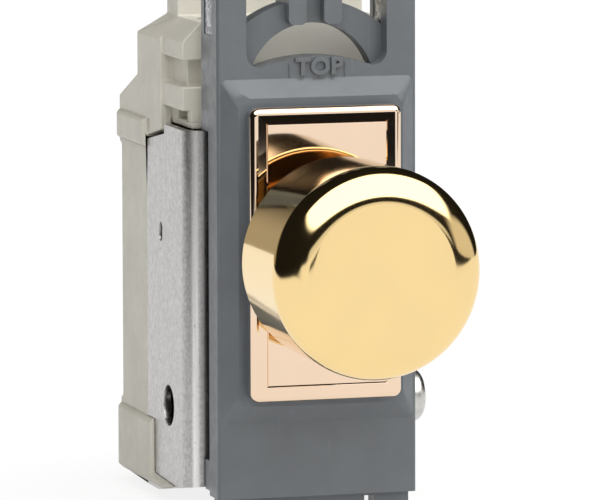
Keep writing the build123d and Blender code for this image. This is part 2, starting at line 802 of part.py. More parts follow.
with BuildPart() as triac_pad:
    with BuildSketch(side(tab_x)):
        with Locations((triac_y, (tab_foot + body_top) / 2)):
            Rectangle(triac_w + 4 * loose_fit, body_top - tab_foot + 4 * loose_fit)
        with Locations((triac_y, triac_z)):
            Circle(m3 / 2 + loose_fit, mode=Mode.SUBTRACT)
    extrude(amount=pad_t)
triac_pad.part.label = "triac_pad"
export_step(triac_pad.part, "parts/triac_pad.step")

head_x = bracket_w / 2 + m3_washer_t
dome_r = m3_head_h / 2
with BuildPart() as triac_screw:
    with BuildSketch(Plane.XY.offset(triac_z)):
        with BuildLine():
            Polyline((head_x - m3_len, triac_y), (head_x - m3_len, triac_y + m3 / 2), (head_x, triac_y + m3 / 2),
                     (head_x, triac_y + m3_head_d / 2), (head_x + dome_r, triac_y + m3_head_d / 2))
            RadiusArc((head_x + dome_r, triac_y + m3_head_d / 2),
                      (head_x + m3_head_h, triac_y + m3_head_d / 2 - dome_r), dome_r)
            Polyline((head_x + m3_head_h, triac_y + m3_head_d / 2 - dome_r), (head_x + m3_head_h, triac_y),
                     (head_x - m3_len, triac_y))
        make_face()
    revolve(axis=Axis((head_x, triac_y, triac_z), (1, 0, 0)))
    # cross recess
    with BuildSketch(side(head_x + m3_head_h / 2)):
        with Locations((triac_y, triac_z)):
            Rectangle(m3, clamp_slot)
            Rectangle(clamp_slot, m3)
    extrude(amount=m3_head_h, mode=Mode.SUBTRACT)
triac_screw.part.label = "triac_screw"
export_step(triac_screw.part, "parts/triac_screw.step")

with BuildPart() as triac_washer:
    with BuildSketch(side(bracket_w / 2)):
        with Locations((triac_y, triac_z)):
            Circle(m3_washer_d / 2)
            Circle(m3 / 2 + run_fit, mode=Mode.SUBTRACT)
    extrude(amount=m3_washer_t)
triac_washer.part.label = "triac_washer"
export_step(triac_washer.part, "parts/triac_washer.step")

with BuildPart() as triac_nut:
    with BuildSketch(side(tab_x - triac_tab_t - m3_nut_t)):
        with Locations((triac_y, triac_z)):
            RegularPolygon(m3_nut_af / 2, 6, major_radius=False)
            Circle(m3 / 2 + run_fit, mode=Mode.SUBTRACT)
    extrude(amount=m3_nut_t)
triac_nut.part.label = "triac_nut"
export_step(triac_nut.part, "parts/triac_nut.step")

# Circuit board with holes for leads, contact pins and its screws
fuse_x = (-fuse_l / 2 - fuse_lead, fuse_l / 2 + fuse_lead)
resistor_z = (resistor_mid - resistor_l / 2 - fuse_lead, resistor_mid + resistor_l / 2 + fuse_lead)
diode_x = (diode_mid - diode_l / 2 - fuse_lead, diode_mid + diode_l / 2 + fuse_lead)
axial_holes = [(fuse_mid + x, fuse_z) for x in fuse_x]
axial_holes += [(resistor_x, z) for z in resistor_z]
axial_holes += [(x, diode_z) for x in diode_x]
with BuildPart() as circuit_board:
    with BuildSketch(front(board_back)):
        with Locations((0, (board_top - board_foot) / 2)):
            Rectangle(board_w, board_top + board_foot)
        with Locations(*axial_holes):
            Circle(axial_lead_d / 2 + run_fit, mode=Mode.SUBTRACT)
        with Locations(*[(lead_x, z) for y, z in lead_rows]):
            Rectangle(lead_t + 2 * run_fit, lead_t + 2 * run_fit, mode=Mode.SUBTRACT)
        with Locations((-contact_x, -bridge_drop), (contact_x, -bridge_drop)):
            Circle(contact_pin_d / 2 + run_fit, mode=Mode.SUBTRACT)
        for z in board_screw_z:
            with Locations((-board_screw_x, z), (board_screw_x, z)):
                Circle(board_screw_d / 2 + loose_fit, mode=Mode.SUBTRACT)
    extrude(amount=board_t)
circuit_board.part.label = "circuit_board"
export_step(circuit_board.part, "parts/circuit_board.step")

with BuildPart() as board_screws:
    for z in board_screw_z:
        for x in (-board_screw_x, board_screw_x):
            with BuildSketch(front(board_y)):
                with Locations((x, z)):
                    Circle(board_screw_head_d / 2)
            extrude(amount=board_screw_head_h)
            with BuildSketch(front(board_back + board_screw_l)):
                with Locations((x, z)):
                    Circle(board_screw_d / 2)
            extrude(amount=board_t + board_screw_l)
board_screws.part.label = "board_screws"
export_step(board_screws.part, "parts/board_screws.step")

# Components lying on the front of the board
with BuildPart() as fuse:
    fuse_axis = board_y - fuse_d / 2 - lead_rise
    with BuildSketch(side(fuse_mid - fuse_l / 2)):
        with Locations((fuse_axis, fuse_z)):
            Circle(fuse_d / 2)
    extrude(amount=fuse_l)
    # glass is a little slimmer than the end caps
    with BuildSketch(side(fuse_mid - fuse_l / 2 + fuse_cap_l)):
        with Locations((fuse_axis, fuse_z)):
            Circle(fuse_d / 2)
            Circle(fuse_d / 2 - 2 * loose_fit, mode=Mode.SUBTRACT)
    extrude(amount=fuse_l - 2 * fuse_cap_l, mode=Mode.SUBTRACT)
    with BuildSketch(side(fuse_mid + fuse_x[0] - axial_lead_d / 2)):
        with Locations((fuse_axis, fuse_z)):
            Circle(axial_lead_d / 2)
    extrude(amount=fuse_x[1] - fuse_x[0] + axial_lead_d)
    with BuildSketch(front(board_back)):
        with Locations(*[(fuse_mid + x, fuse_z) for x in fuse_x]):
            Circle(axial_lead_d / 2)
    extrude(amount=board_back - fuse_axis)
fuse.part.label = "fuse"
export_step(fuse.part, "parts/fuse.step")

with BuildPart() as timing_resistor:
    resistor_axis = board_y - resistor_d / 2 - lead_rise
    with BuildSketch(Plane.XY.offset(resistor_mid - resistor_l / 2)):
        with Locations((resistor_x, resistor_axis)):
            Circle(resistor_d / 2)
    extrude(amount=resistor_l)
    chamfer(timing_resistor.edges().filter_by(GeomType.CIRCLE), resistor_d / 5)
    with BuildSketch(Plane.XY.offset(resistor_z[0] - axial_lead_d / 2)):
        with Locations((resistor_x, resistor_axis)):
            Circle(axial_lead_d / 2)
    extrude(amount=resistor_z[1] - resistor_z[0] + axial_lead_d)
    with BuildSketch(front(board_back)):
        with Locations(*[(resistor_x, z) for z in resistor_z]):
            Circle(axial_lead_d / 2)
    extrude(amount=board_back - resistor_axis)
timing_resistor.part.label = "timing_resistor"
export_step(timing_resistor.part, "parts/timing_resistor.step")

with BuildPart() as trigger_diode:
    diode_axis = board_y - diode_d / 2 - lead_rise
    with BuildSketch(side(diode_mid - diode_l / 2)):
        with Locations((diode_axis, diode_z)):
            Circle(diode_d / 2)
    extrude(amount=diode_l)
    with BuildSketch(side(diode_x[0] - axial_lead_d / 2)):
        with Locations((diode_axis, diode_z)):
            Circle(axial_lead_d / 2)
    extrude(amount=diode_x[1] - diode_x[0] + axial_lead_d)
    with BuildSketch(front(board_back)):
        with Locations(*[(x, diode_z) for x in diode_x]):
            Circle(axial_lead_d / 2)
    extrude(amount=board_back - diode_axis)
trigger_diode.part.label = "trigger_diode"
export_step(trigger_diode.part, "parts/trigger_diode.step")

with BuildPart() as suppressor_capacitor:
    with BuildSketch(front(board_y)):
        with Locations((cap_x, cap_z)):
            RectangleRounded(cap_w, cap_h, 4 * loose_fit)
    extrude(amount=cap_d)
suppressor_capacitor.part.label = "suppressor_capacitor"
export_step(suppressor_capacitor.part, "parts/suppressor_capacitor.step")

with BuildPart() as timing_capacitor:
    with BuildSketch(front(board_y)):
        with Locations((small_cap_x, diode_z)):
            RectangleRounded(small_cap_w, small_cap_h, 4 * loose_fit)
    extrude(amount=small_cap_d)
timing_capacitor.part.label = "timing_capacitor"
export_step(timing_capacitor.part, "parts/timing_capacitor.step")

# Ring choke behind the board
choke_y = board_back + winding_t
choke_axis = Axis((choke_x, 0, choke_z), (0, 1, 0))
choke_mid = (choke_x + (choke_hole_r + choke_r) / 2, choke_y + choke_h / 2)
choke_w = choke_r - choke_hole_r
with BuildPart() as choke_core:
    with BuildSketch(Plane.XY.offset(choke_z)):
        with Locations(choke_mid):
            Rectangle(choke_w, choke_h)
    revolve(axis=choke_axis)
choke_core.part.label = "choke_core"
export_step(choke_core.part, "parts/choke_core.step")

with BuildPart() as choke_winding:
    with BuildSketch(Plane.XY.offset(choke_z)) as winding_section:
        with Locations(choke_mid):
            Rectangle(choke_w + 2 * winding_t, choke_h + 2 * winding_t)
        chamfer(winding_section.vertices(), 0.6 * winding_t)
        with Locations(choke_mid):
            Rectangle(choke_w + 2 * run_fit, choke_h + 2 * run_fit, mode=Mode.SUBTRACT)
    revolve(axis=choke_axis, revolution_arc=winding_span)
choke_winding.part.label = "choke_winding"
export_step(choke_winding.part, "parts/choke_winding.step")

# Cream rear case: tub over the back of the bracket, upper block with the terminals
case_half = case_w / 2
back_out = case_back + case_band
block_half = case_half - (block_top - block_shoulder)
tub_top = block_foot - case_wall
tub_foot = -case_foot + case_wall
rim_y = bracket_back
clip_front = rim_y - clip_lap
clip_back = back_out - band_round
chamber_foot = chamber_top - terminal_h
slope = (bracket_heel - bracket_foot) / (bracket_heel_y - web_y)
floor_z = -bracket_foot - slope * (floor_front - web_y)
post_mid = (board_screw_x - post_w + case_in) / 2
post_span = case_in - (board_screw_x - post_w)
with BuildPart() as rear_case:
    with BuildSketch(side(-case_half)):
        with BuildLine():
            Polyline((rim_y, -case_foot), (back_out, -case_foot + band_slope), (back_out, low_band_top),
                     (case_back, low_band_top + case_band / 3), (case_back, band_foot - case_band / 4),
                     (back_out, band_foot), (back_out, band_top), (block_back, block_step),
                     (block_back, wall_step), (wall_back, block_top), (wall_back, wall_top),
                     (wall_front, wall_top), (wall_front, block_top), (block_front, block_top),
                     (block_front, block_foot), (rim_y, block_foot), close=True)
        make_face()
    extrude(amount=case_w)
    # the upper block and its wall are narrower, with 45 degree shoulders
    with BuildSketch(front(back_out)):
        with BuildLine():
            Polyline((-case_half, -case_foot), (-case_half, block_shoulder), (-block_half, block_top),
                     (-block_half, wall_top), (block_half, wall_top), (block_half, block_top),
                     (case_half, block_shoulder), (case_half, -case_foot), close=True)
        make_face()
    extrude(amount=back_out, mode=Mode.INTERSECT)
    fillet(rear_case.edges().filter_by(Axis.Z).group_by(Axis.Y)[-1], band_round)
    # side clips, the lower ones over and under the bracket
    for x in (-case_half - clip_proud, case_half):
        with BuildSketch(side(x)):
            with BuildLine():
                Polyline((clip_front, low_band_top), (clip_back, low_band_top), (clip_back, clip_foot),
                         (hook_root, clip_foot), (hook_tip, hook_low), (clip_front, hook_top), close=True)
            make_face()
            with Locations(((rim_y + clip_back) / 2, (band_foot + clip_top) / 2)):
                Rectangle(clip_back - rim_y, clip_top - band_foot)
        extrude(amount=clip_proud)
    # skirts below the upper block
    for x in (-case_half, case_half - cheek_t):
        with BuildSketch(side(x)):
            with BuildLine():
                Polyline((pod_back, block_foot), (pod_back, block_foot - cheek_h),
                         (rim_y, block_foot - cheek_end), (rim_y, block_foot), close=True)
            make_face()
            with Locations((rim_y - 0.3 * clip_slit - clip_slit / 2, clip_top - clip_slit_h / 2)):
                Rectangle(clip_slit, clip_slit_h, mode=Mode.SUBTRACT)
        extrude(amount=cheek_t)
    # tub, open to the front, with lips inside the bracket and a sloped floor
    with BuildSketch(front(rim_y)):
        with Locations((0, (tub_top + tub_foot) / 2)):
            Rectangle(2 * case_in, tub_top - tub_foot)
    extrude(amount=-(case_back - case_wall - rim_y), mode=Mode.SUBTRACT)
    with BuildSketch(front(rim_y + lip_t)):
        with Locations((-side_in + lip_t / 2, lip_mid), (side_in - lip_t / 2, lip_mid)):
            Rectangle(lip_t, lip_h)
    extrude(amount=lip_t + lip_lap)
    with BuildSketch(side(-side_in)):
        with BuildLine():
            Polyline((floor_front, floor_z), (bracket_heel_y, -bracket_heel), (rim_y + case_wall, -bracket_heel),
                     (rim_y + case_wall, tub_foot), (bracket_heel_y, tub_foot),
                     (floor_front, floor_z + bracket_heel + tub_foot), close=True)
        make_face()
    extrude(amount=2 * side_in)
    # posts for the board screws
    with BuildSketch(front(case_back - case_wall)):
        for z in board_screw_z:
            with Locations((-post_mid, z), (post_mid, z)):
                Rectangle(post_span, 2 * post_w)
    extrude(amount=case_back - case_wall - board_back)
    with BuildSketch(front(board_back + board_screw_l + loose_fit)):
        for z in board_screw_z:
            with Locations((-board_screw_x, z), (board_screw_x, z)):
                Circle(board_screw_d / 2 + run_fit)
    extrude(amount=board_screw_l + loose_fit, mode=Mode.SUBTRACT)
    # the front of the block is set in, with two notches in each side
    pod_mid = (block_front + pod_back) / 2
    notch_mid = (block_front + notch_step) / 2
    low_notch_mid = (notch_step + low_notch_back) / 2
    with BuildSketch(Plane.XY.offset(block_foot)):
        with Locations((-case_half, pod_mid), (case_half, pod_mid)):
            Rectangle(2 * pod_inset, pod_back - block_front)
    extrude(amount=block_top - block_foot, mode=Mode.SUBTRACT)
    with BuildSketch(Plane.XY.offset(notch_low)):
        with Locations((-case_half, pod_mid), (case_half, pod_mid)):
            Rectangle(2 * notch_deep, pod_back - block_front)
        with Locations((-case_half, notch_mid), (case_half, notch_mid)):
            Rectangle(2 * notch_front, notch_step - block_front)
    extrude(amount=notch_high - notch_low, mode=Mode.SUBTRACT)
    with BuildSketch(Plane.XY.offset(block_foot)):
        with Locations((-case_half, pod_mid), (case_half, pod_mid)):
            Rectangle(2 * notch_deep, pod_back - block_front)
        with Locations((-case_half, low_notch_mid), (case_half, low_notch_mid)):
            Rectangle(2 * low_notch_front, low_notch_back - notch_step)
    extrude(amount=low_notch_top - block_foot, mode=Mode.SUBTRACT)
    # chambers for the terminals, with slots for their tails
    chamber_y = (terminal_y - loose_fit, terminal_y + terminal_l + loose_fit)
    with BuildSketch(Plane.XY.offset(chamber_foot)):
        with Locations(*[(x, sum(chamber_y) / 2) for x in terminal_xs]):
            Rectangle(chamber_w, chamber_y[1] - chamber_y[0])
    extrude(amount=terminal_h + loose_fit, mode=Mode.SUBTRACT)
    with BuildSketch(Plane.XY.offset(tub_top)):
        with Locations(*[(x, board_y - tail_t / 2) for x in terminal_xs]):
            Rectangle(tail_w + 2 * loose_fit, tail_t + 2 * loose_fit)
    extrude(amount=chamber_foot - tub_top, mode=Mode.SUBTRACT)
    # wire holes in the rear and screwdriver holes in the top
    with BuildSketch(front(block_back)):
        with Locations(*[(x, wire_z) for x in terminal_xs]):
            Circle(wire_d / 2)
    extrude(amount=block_back - chamber_y[1], mode=Mode.SUBTRACT)
    with BuildSketch(Plane.XY.offset(chamber_top)):
        with Locations(*[(x, clamp_y) for x in terminal_xs]):
            Circle(clamp_d / 2 + clamp_access)
    extrude(amount=block_top - chamber_top, mode=Mode.SUBTRACT)
rear_case.part.label = "rear_case"
export_step(rear_case.part, "parts/rear_case.step")

# Brass terminals, each with a slotted clamp screw
clamp_foot = chamber_top - clamp_d / 4
for name, x in zip(("left", "middle", "right"), terminal_xs):
    with BuildPart() as terminal_block:
        with BuildSketch(Plane.XY.offset(chamber_foot)):
            with Locations((x, terminal_y + terminal_l / 2)):
                Rectangle(terminal_w, terminal_l)
        extrude(amount=terminal_h)
        with BuildSketch(Plane.XY.offset(chamber_foot - tail_l)):
            with Locations((x, board_y - tail_t / 2)):
                Rectangle(tail_w, tail_t)
        extrude(amount=tail_l)
        with BuildSketch(front(terminal_y + terminal_l)):
            with Locations((x, wire_z)):
                Circle(wire_d / 2)
        extrude(amount=wire_depth, mode=Mode.SUBTRACT)
        with BuildSketch(Plane.XY.offset(clamp_foot - clamp_travel - loose_fit)):
            with Locations((x, clamp_y)):
                Circle(clamp_d / 2 + run_fit)
        extrude(amount=chamber_top - clamp_foot + clamp_travel + loose_fit, mode=Mode.SUBTRACT)
    terminal_block.part.label = f"terminal_block_{name}"
    export_step(terminal_block.part, f"parts/terminal_block_{name}.step")

    with BuildPart() as terminal_screw:
        with BuildSketch(Plane.XY.offset(clamp_foot)):
            with Locations((x, clamp_y)):
                Circle(clamp_d / 2)
        extrude(amount=clamp_l)
        with BuildSketch(Plane.XY.offset(clamp_foot + clamp_l - clamp_slot)):
            with Locations((x, clamp_y)):
                Rectangle(clamp_d, clamp_slot)
        extrude(amount=clamp_slot, mode=Mode.SUBTRACT)
    terminal_screw.part.label = f"terminal_screw_{name}"
    export_step(terminal_screw.part, f"parts/terminal_screw_{name}.step")
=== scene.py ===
"""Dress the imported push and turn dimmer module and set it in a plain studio."""
import json
import logging
import math
from dataclasses import dataclass, field
from enum import Enum
from typing import Callable, Iterable, Sequence

import bmesh
import bpy
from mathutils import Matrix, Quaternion, Vector


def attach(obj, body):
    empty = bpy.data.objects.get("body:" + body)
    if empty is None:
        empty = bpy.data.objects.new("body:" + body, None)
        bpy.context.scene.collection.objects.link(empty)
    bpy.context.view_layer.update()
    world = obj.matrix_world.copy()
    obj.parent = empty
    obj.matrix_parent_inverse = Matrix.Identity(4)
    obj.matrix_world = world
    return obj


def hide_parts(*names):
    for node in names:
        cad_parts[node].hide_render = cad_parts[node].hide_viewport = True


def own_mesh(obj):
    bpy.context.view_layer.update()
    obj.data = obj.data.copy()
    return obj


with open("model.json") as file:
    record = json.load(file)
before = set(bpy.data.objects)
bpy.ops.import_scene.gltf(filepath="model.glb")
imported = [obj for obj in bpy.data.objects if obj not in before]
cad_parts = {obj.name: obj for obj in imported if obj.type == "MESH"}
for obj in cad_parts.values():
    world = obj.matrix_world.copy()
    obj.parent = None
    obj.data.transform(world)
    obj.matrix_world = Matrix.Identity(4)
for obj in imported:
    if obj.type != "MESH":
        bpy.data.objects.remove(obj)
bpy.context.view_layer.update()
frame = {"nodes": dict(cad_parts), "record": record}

# Sizes of pieces are in millimetres, and this turns them into metres
MM = 0.001
# Heights closer than this, in metres, count as one
NEAR = 1e-6
# Edges that turn more than this, in degrees, are rounded
EDGE_ANGLE = 34.0
# Faces that meet at less than this, in degrees, become one face
FLAT_ANGLE = 0.6
# Share of a unit direction above which an edge runs along an axis
ALONG = 0.9
# How much larger faces count in the weighted normals
NORMAL_WEIGHT = 60
log = logging.getLogger("dimmer")

Colour = tuple[float, float, float]
Point = tuple[float, float, float]
Pair = tuple[float, float]
Piece = bpy.types.Object
Socket = bpy.types.NodeSocket


class Body(Enum):
    """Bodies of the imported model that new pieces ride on."""

    MODULE = "module"
    KNOB = "knob"


class Slot(Enum):
    """Material slots of the record."""

    GREY = "grey_plastic"
    BRASS = "polished_brass"
    ALUMINIUM = "brushed_aluminium"
    CREAM = "cream_plastic"
    STEEL = "plated_steel"


# Modelling helpers


def clear_selection() -> None:
    """Leave edit mode and deselect every object."""
    if bpy.context.object and bpy.context.object.mode != "OBJECT":
        bpy.ops.object.mode_set(mode="OBJECT")
    bpy.ops.object.select_all(action="DESELECT")


def only(obj: Piece) -> None:
    """Deselect everything, then select and activate one object.

    Args:
        obj: The object to work on.
    """
    clear_selection()
    obj.select_set(True)
    bpy.context.view_layer.objects.active = obj


def pick(obj: Piece, mode: str, test: Callable[[object], bool]) -> int:
    """Select, in edit mode, the elements that pass a test.

    Args:
        obj: The object that is in edit mode.
        mode: VERT, EDGE or FACE.
        test: Takes a bmesh vertex, edge or face.

    Returns:
        The number of elements selected.
    """
    bpy.ops.mesh.select_mode(type=mode)
    bpy.ops.mesh.select_all(action="DESELECT")
    mesh = bmesh.from_edit_mesh(obj.data)
    group = {"VERT": mesh.verts, "EDGE": mesh.edges, "FACE": mesh.faces}[mode]
    count = 0
    for element in group:
        if test(element):
            element.select_set(True)
            count += 1
    mesh.select_flush_mode()
    bmesh.update_edit_mesh(obj.data)
    return count


def at_depth(y: float) -> Callable[[object], bool]:
    """Test for edges and faces that lie at one depth.

    Args:
        y: The depth in metres.

    Returns:
        The test, for pick.
    """
    return lambda element: all(abs(v.co.y - y) < NEAR for v in element.verts)


def settle(obj: Piece) -> None:
    """Put an object's place into its mesh, so that the object sits at the origin.

    Args:
        obj: The finished piece.
    """
    only(obj)
    bpy.ops.object.transform_apply(location=True, rotation=True, scale=True)


def modifier(obj: Piece, kind: str, **settings: object) -> None:
    """Add a modifier to an object and apply it.

    Args:
        obj: The piece.
        kind: The modifier's type.
        **settings: Its attributes.
    """
    only(obj)
    mod = obj.modifiers.new(kind.lower(), kind)
    for key, value in settings.items():
        setattr(mod, key, value)
    bpy.ops.object.modifier_apply(modifier=mod.name)


def smooth(obj: Piece, angle: float = 32.0) -> None:
    """Shade a piece smooth, with sharp edges where its faces meet at more than an angle.

    Args:
        obj: The piece.
        angle: The angle in degrees.
    """
    only(obj)
    bpy.ops.object.shade_smooth_by_angle(angle=math.radians(angle))


def round_edges(obj: Piece, edge: float, clamp: bool = True) -> None:
    """Round the edges of a piece that turn more than EDGE_ANGLE.

    Args:
        obj: The piece.
        edge: Width of the rounded edges in millimetres.
        clamp: Whether the width gives way where edges lie close.
    """
    modifier(obj, "BEVEL", width=edge * MM, segments=2, limit_method="ANGLE",
             angle_limit=math.radians(EDGE_ANGLE), use_clamp_overlap=clamp, miter_outer="MITER_ARC")


def even_normals(obj: Piece) -> None:
    """Shade a piece smooth and let its large faces stay flat.

    Args:
        obj: The piece.
    """
    smooth(obj)
    modifier(obj, "WEIGHTED_NORMAL", keep_sharp=True, weight=NORMAL_WEIGHT)


def cube(name: str, low: Sequence[float], high: Sequence[float]) -> Piece:
    """Add a cube primitive that spans two corners.

    Args:
        name: The new object's name.
        low: Lowest corner in millimetres.
        high: Highest corner in millimetres.

    Returns:
        The new object, with its place in its mesh.
    """
    clear_selection()
    middle = [(a + b) / 2 * MM for a, b in zip(low, high)]
    span = [(b - a) * MM for a, b in zip(low, high)]
    bpy.ops.mesh.primitive_cube_add(size=1, location=middle, scale=span)
    obj = bpy.context.object
    obj.name = name
    settle(obj)
    return obj


def join(name: str, pieces: Sequence[Piece]) -> Piece:
    """Join pieces into the first one.

    Args:
        name: The joined object's name.
        pieces: The objects, of which the first is kept.

    Returns:
        The joined object.
    """
    only(pieces[0])
    for piece in pieces[1:]:
        piece.select_set(True)
    bpy.ops.object.join()
    pieces[0].name = name
    return pieces[0]


def turned(name: str, profile: Sequence[Pair], steps: int) -> Piece:
    """Turn a profile about the shaft axis, as on a lathe.

    Args:
        name: The new object's name.
        profile: Depth and radius of each point in millimetres.
        steps: Steps round the axis.

    Returns:
        The turned piece.
    """
    clear_selection()
    bpy.ops.mesh.primitive_plane_add(size=MM, location=(0, 0, 0))
    obj = bpy.context.object
    obj.name = name
    bpy.ops.object.mode_set(mode="EDIT")
    pick(obj, "VERT", lambda v: True)
    bpy.ops.mesh.merge(type="CENTER")
    bpy.ops.mesh.select_all(action="SELECT")
    depth, radius = profile[0]
    bpy.ops.transform.translate(value=(radius * MM, depth * MM, 0))
    for (y0, r0), (y1, r1) in zip(profile, profile[1:]):
        step = ((r1 - r0) * MM, (y1 - y0) * MM, 0)
        bpy.ops.mesh.extrude_region_move(TRANSFORM_OT_translate={"value": step})
    bpy.ops.mesh.select_all(action="SELECT")
    bpy.ops.mesh.spin(steps=steps, angle=2 * math.pi, center=(0, 0, 0), axis=(0, 1, 0))
    bpy.ops.mesh.select_all(action="SELECT")
    bpy.ops.mesh.remove_doubles(threshold=2 * NEAR)
    bpy.ops.mesh.normals_make_consistent(inside=False)
    bpy.ops.object.mode_set(mode="OBJECT")
    return obj


def arc(centre: Pair, radius: float, start: float, end: float, count: int) -> list[Pair]:
    """Points on an arc in the plane of depth and radius.

    Args:
        centre: Depth and radius of the centre.
        radius: The arc's radius.
        start: First angle in degrees, from the direction of growing depth.
        end: Last angle in degrees.
        count: Number of steps.

    Returns:
        The points, both ends among them.
    """
    points = []
    for i in range(count + 1):
        a = math.radians(start + (end - start) * i / count)
        points.append((centre[0] + radius * math.cos(a), centre[1] + radius * math.sin(a)))
    return points


def worked_copy(node: str, name: str, edge: float) -> Piece:
    """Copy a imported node, merge its triangles into plain faces and round its edges.

    Args:
        node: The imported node.
        name: The new piece's name.
        edge: Width of the rounded edges in millimetres, or 0 for none.

    Returns:
        The new piece.
    """
    source = frame["nodes"][node]
    obj = bpy.data.objects.new(name, source.data.copy())
    bpy.context.scene.collection.objects.link(obj)
    obj.data.materials.clear()
    only(obj)
    bpy.ops.object.mode_set(mode="EDIT")
    bpy.ops.mesh.select_all(action="SELECT")
    bpy.ops.mesh.remove_doubles(threshold=NEAR)
    bpy.ops.mesh.customdata_custom_splitnormals_clear()
    bpy.ops.mesh.dissolve_limited(angle_limit=math.radians(FLAT_ANGLE))
    bpy.ops.object.mode_set(mode="OBJECT")
    if edge > 0:
        round_edges(obj, edge)
    even_normals(obj)
    return obj


def bind(obj: Piece, body: Body, slot: Slot, *nodes: str) -> None:
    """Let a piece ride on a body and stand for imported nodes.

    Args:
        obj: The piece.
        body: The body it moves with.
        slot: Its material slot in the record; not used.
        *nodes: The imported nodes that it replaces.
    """
    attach(obj, body.value)
    if nodes:
        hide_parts(*nodes)
    log.info("%s: %d faces on %s", obj.name, len(obj.data.polygons), body.value)


# Finishes


class Graph:
    """Shader nodes of one material or world."""

    def __init__(self, tree: bpy.types.NodeTree) -> None:
        """Start with an empty tree.

        Args:
            tree: The node tree to fill.
        """
        self.tree = tree
        tree.nodes.clear()

    def add(self, kind: str, inputs: dict | None = None, **settings: object) -> bpy.types.Node:
        """Add a node, set its attributes and feed its inputs.

        Args:
            kind: Node type without the ShaderNode prefix.
            inputs: Values or output sockets by input name or index.
            **settings: Attributes of the node.

        Returns:
            The node.
        """
        node = self.tree.nodes.new("ShaderNode" + kind)
        for key, value in settings.items():
            setattr(node, key, value)
        for key, value in (inputs or {}).items():
            if isinstance(value, Socket):
                self.tree.links.new(value, node.inputs[key])
            else:
                node.inputs[key].default_value = value
        return node

    def math(self, operation: str, a: object, b: object = 0.0, clamp: bool = False) -> Socket:
        """Combine two numbers.

        Args:
            operation: Name of the operation.
            a: First value or socket.
            b: Second value or socket.
            clamp: Whether the result is kept between 0 and 1.

        Returns:
            The result's socket.
        """
        node = self.add("Math", {0: a, 1: b}, operation=operation, use_clamp=clamp)
        return node.outputs[0]

    def times(self, a: object, b: object) -> Socket:
        """Multiply two numbers.

        Args:
            a: First value or socket.
            b: Second value or socket.

        Returns:
            The product's socket.
        """
        return self.math("MULTIPLY", a, b)

    def ramp(self, value: Socket, low: float, high: float, out_low: float = 0.0,
             out_high: float = 1.0) -> Socket:
        """Map a value smoothly from one range to another.

        Args:
            value: The socket to map.
            low: Value that gives out_low.
            high: Value that gives out_high.
            out_low: Lower result.
            out_high: Upper result.

        Returns:
            The result's socket.
        """
        node = self.add("MapRange", {"Value": value, "From Min": low, "From Max": high, "To Min": out_low,
                                     "To Max": out_high}, interpolation_type="SMOOTHSTEP")
        return node.outputs["Result"]

    def step(self, value: Socket, at: float, soft: float) -> Socket:
        """Soft step at one value.

        Args:
            value: The socket to map.
            at: Value in the middle of the step.
            soft: Half of the step's width, negative where the result falls.

        Returns:
            The result's socket, between 0 and 1.
        """
        return self.ramp(value, at - soft, at + soft)

    def mix(self, factor: object, a: object, b: object) -> Socket:
        """Mix two colours.

        Args:
            factor: Share of the second colour.
            a: First colour or socket.
            b: Second colour or socket.

        Returns:
            The result's socket.
        """
        node = self.add("Mix", data_type="RGBA")
        for index, value in ((0, factor), (6, a), (7, b)):
            if isinstance(value, Socket):
                self.tree.links.new(value, node.inputs[index])
            elif isinstance(value, (int, float)):
                node.inputs[index].default_value = value
            else:
                node.inputs[index].default_value = (*value, 1.0)
        return node.outputs[2]

    def clouded(self, value: Socket, base: Colour, low: float, high: float) -> Socket:
        """A colour that is darker and lighter with a noise value.

        Args:
            value: The noise.
            base: The colour.
            low: Factor where the noise is low.
            high: Factor where the noise is high.

        Returns:
            The colour's socket.
        """
        return self.mix(self.ramp(value, 0.3, 0.7), tint(base, low), tint(base, high))

    def place(self, stretch: Point = (1, 1, 1), turn: Point = (0, 0, 0)) -> Socket:
        """Object coordinates, stretched and turned.

        Args:
            stretch: Scale along each axis.
            turn: Rotation about each axis in degrees.

        Returns:
            The vector socket.
        """
        where = self.add("TexCoord").outputs["Object"]
        if stretch == (1, 1, 1) and turn == (0, 0, 0):
            return where
        angles = [math.radians(a) for a in turn]
        inputs = {"Vector": where, "Rotation": angles, "Scale": stretch}
        return self.add("Mapping", inputs, vector_type="POINT").outputs[0]

    def noise(self, where: Socket, scale: float, detail: float = 2.0, rough: float = 0.5) -> Socket:
        """Noise value at a place.

        Args:
            where: The vector socket.
            scale: Scale per metre.
            detail: Octaves.
            rough: Strength of the finer octaves.

        Returns:
            The value's socket.
        """
        node = self.add("TexNoise", {"Vector": where, "Scale": scale, "Detail": detail, "Roughness": rough})
        return node.outputs["Fac"]

    def bump(self, height: Socket, strength: float, distance: float) -> Socket:
        """Bump from a height.

        Args:
            height: The height's socket.
            strength: Share of the bump.
            distance: Height of 1 in metres.

        Returns:
            The normal's socket.
        """
        node = self.add("Bump", {"Height": height, "Strength": strength, "Distance": distance})
        return node.outputs[0]

    def scratches(self, turn: Point, stretch: Point, scale: float, level: float) -> Socket:
        """Mask of thin scratches along one direction.

        Args:
            turn: Rotation of the pattern in degrees.
            stretch: Scale along each axis, small along the scratches.
            scale: Scale per metre across them.
            level: Noise level above which a scratch shows.

        Returns:
            The mask's socket.
        """
        lines = self.noise(self.place(stretch, turn), scale, 1.0)
        return self.ramp(lines, level, level + 0.03)


def tint(colour: Colour, gain: float) -> Colour:
    """A colour made lighter or darker.

    Args:
        colour: Linear colour.
        gain: Factor on each channel.

    Returns:
        The new colour.
    """
    return tuple(min(1.0, c * gain) for c in colour)


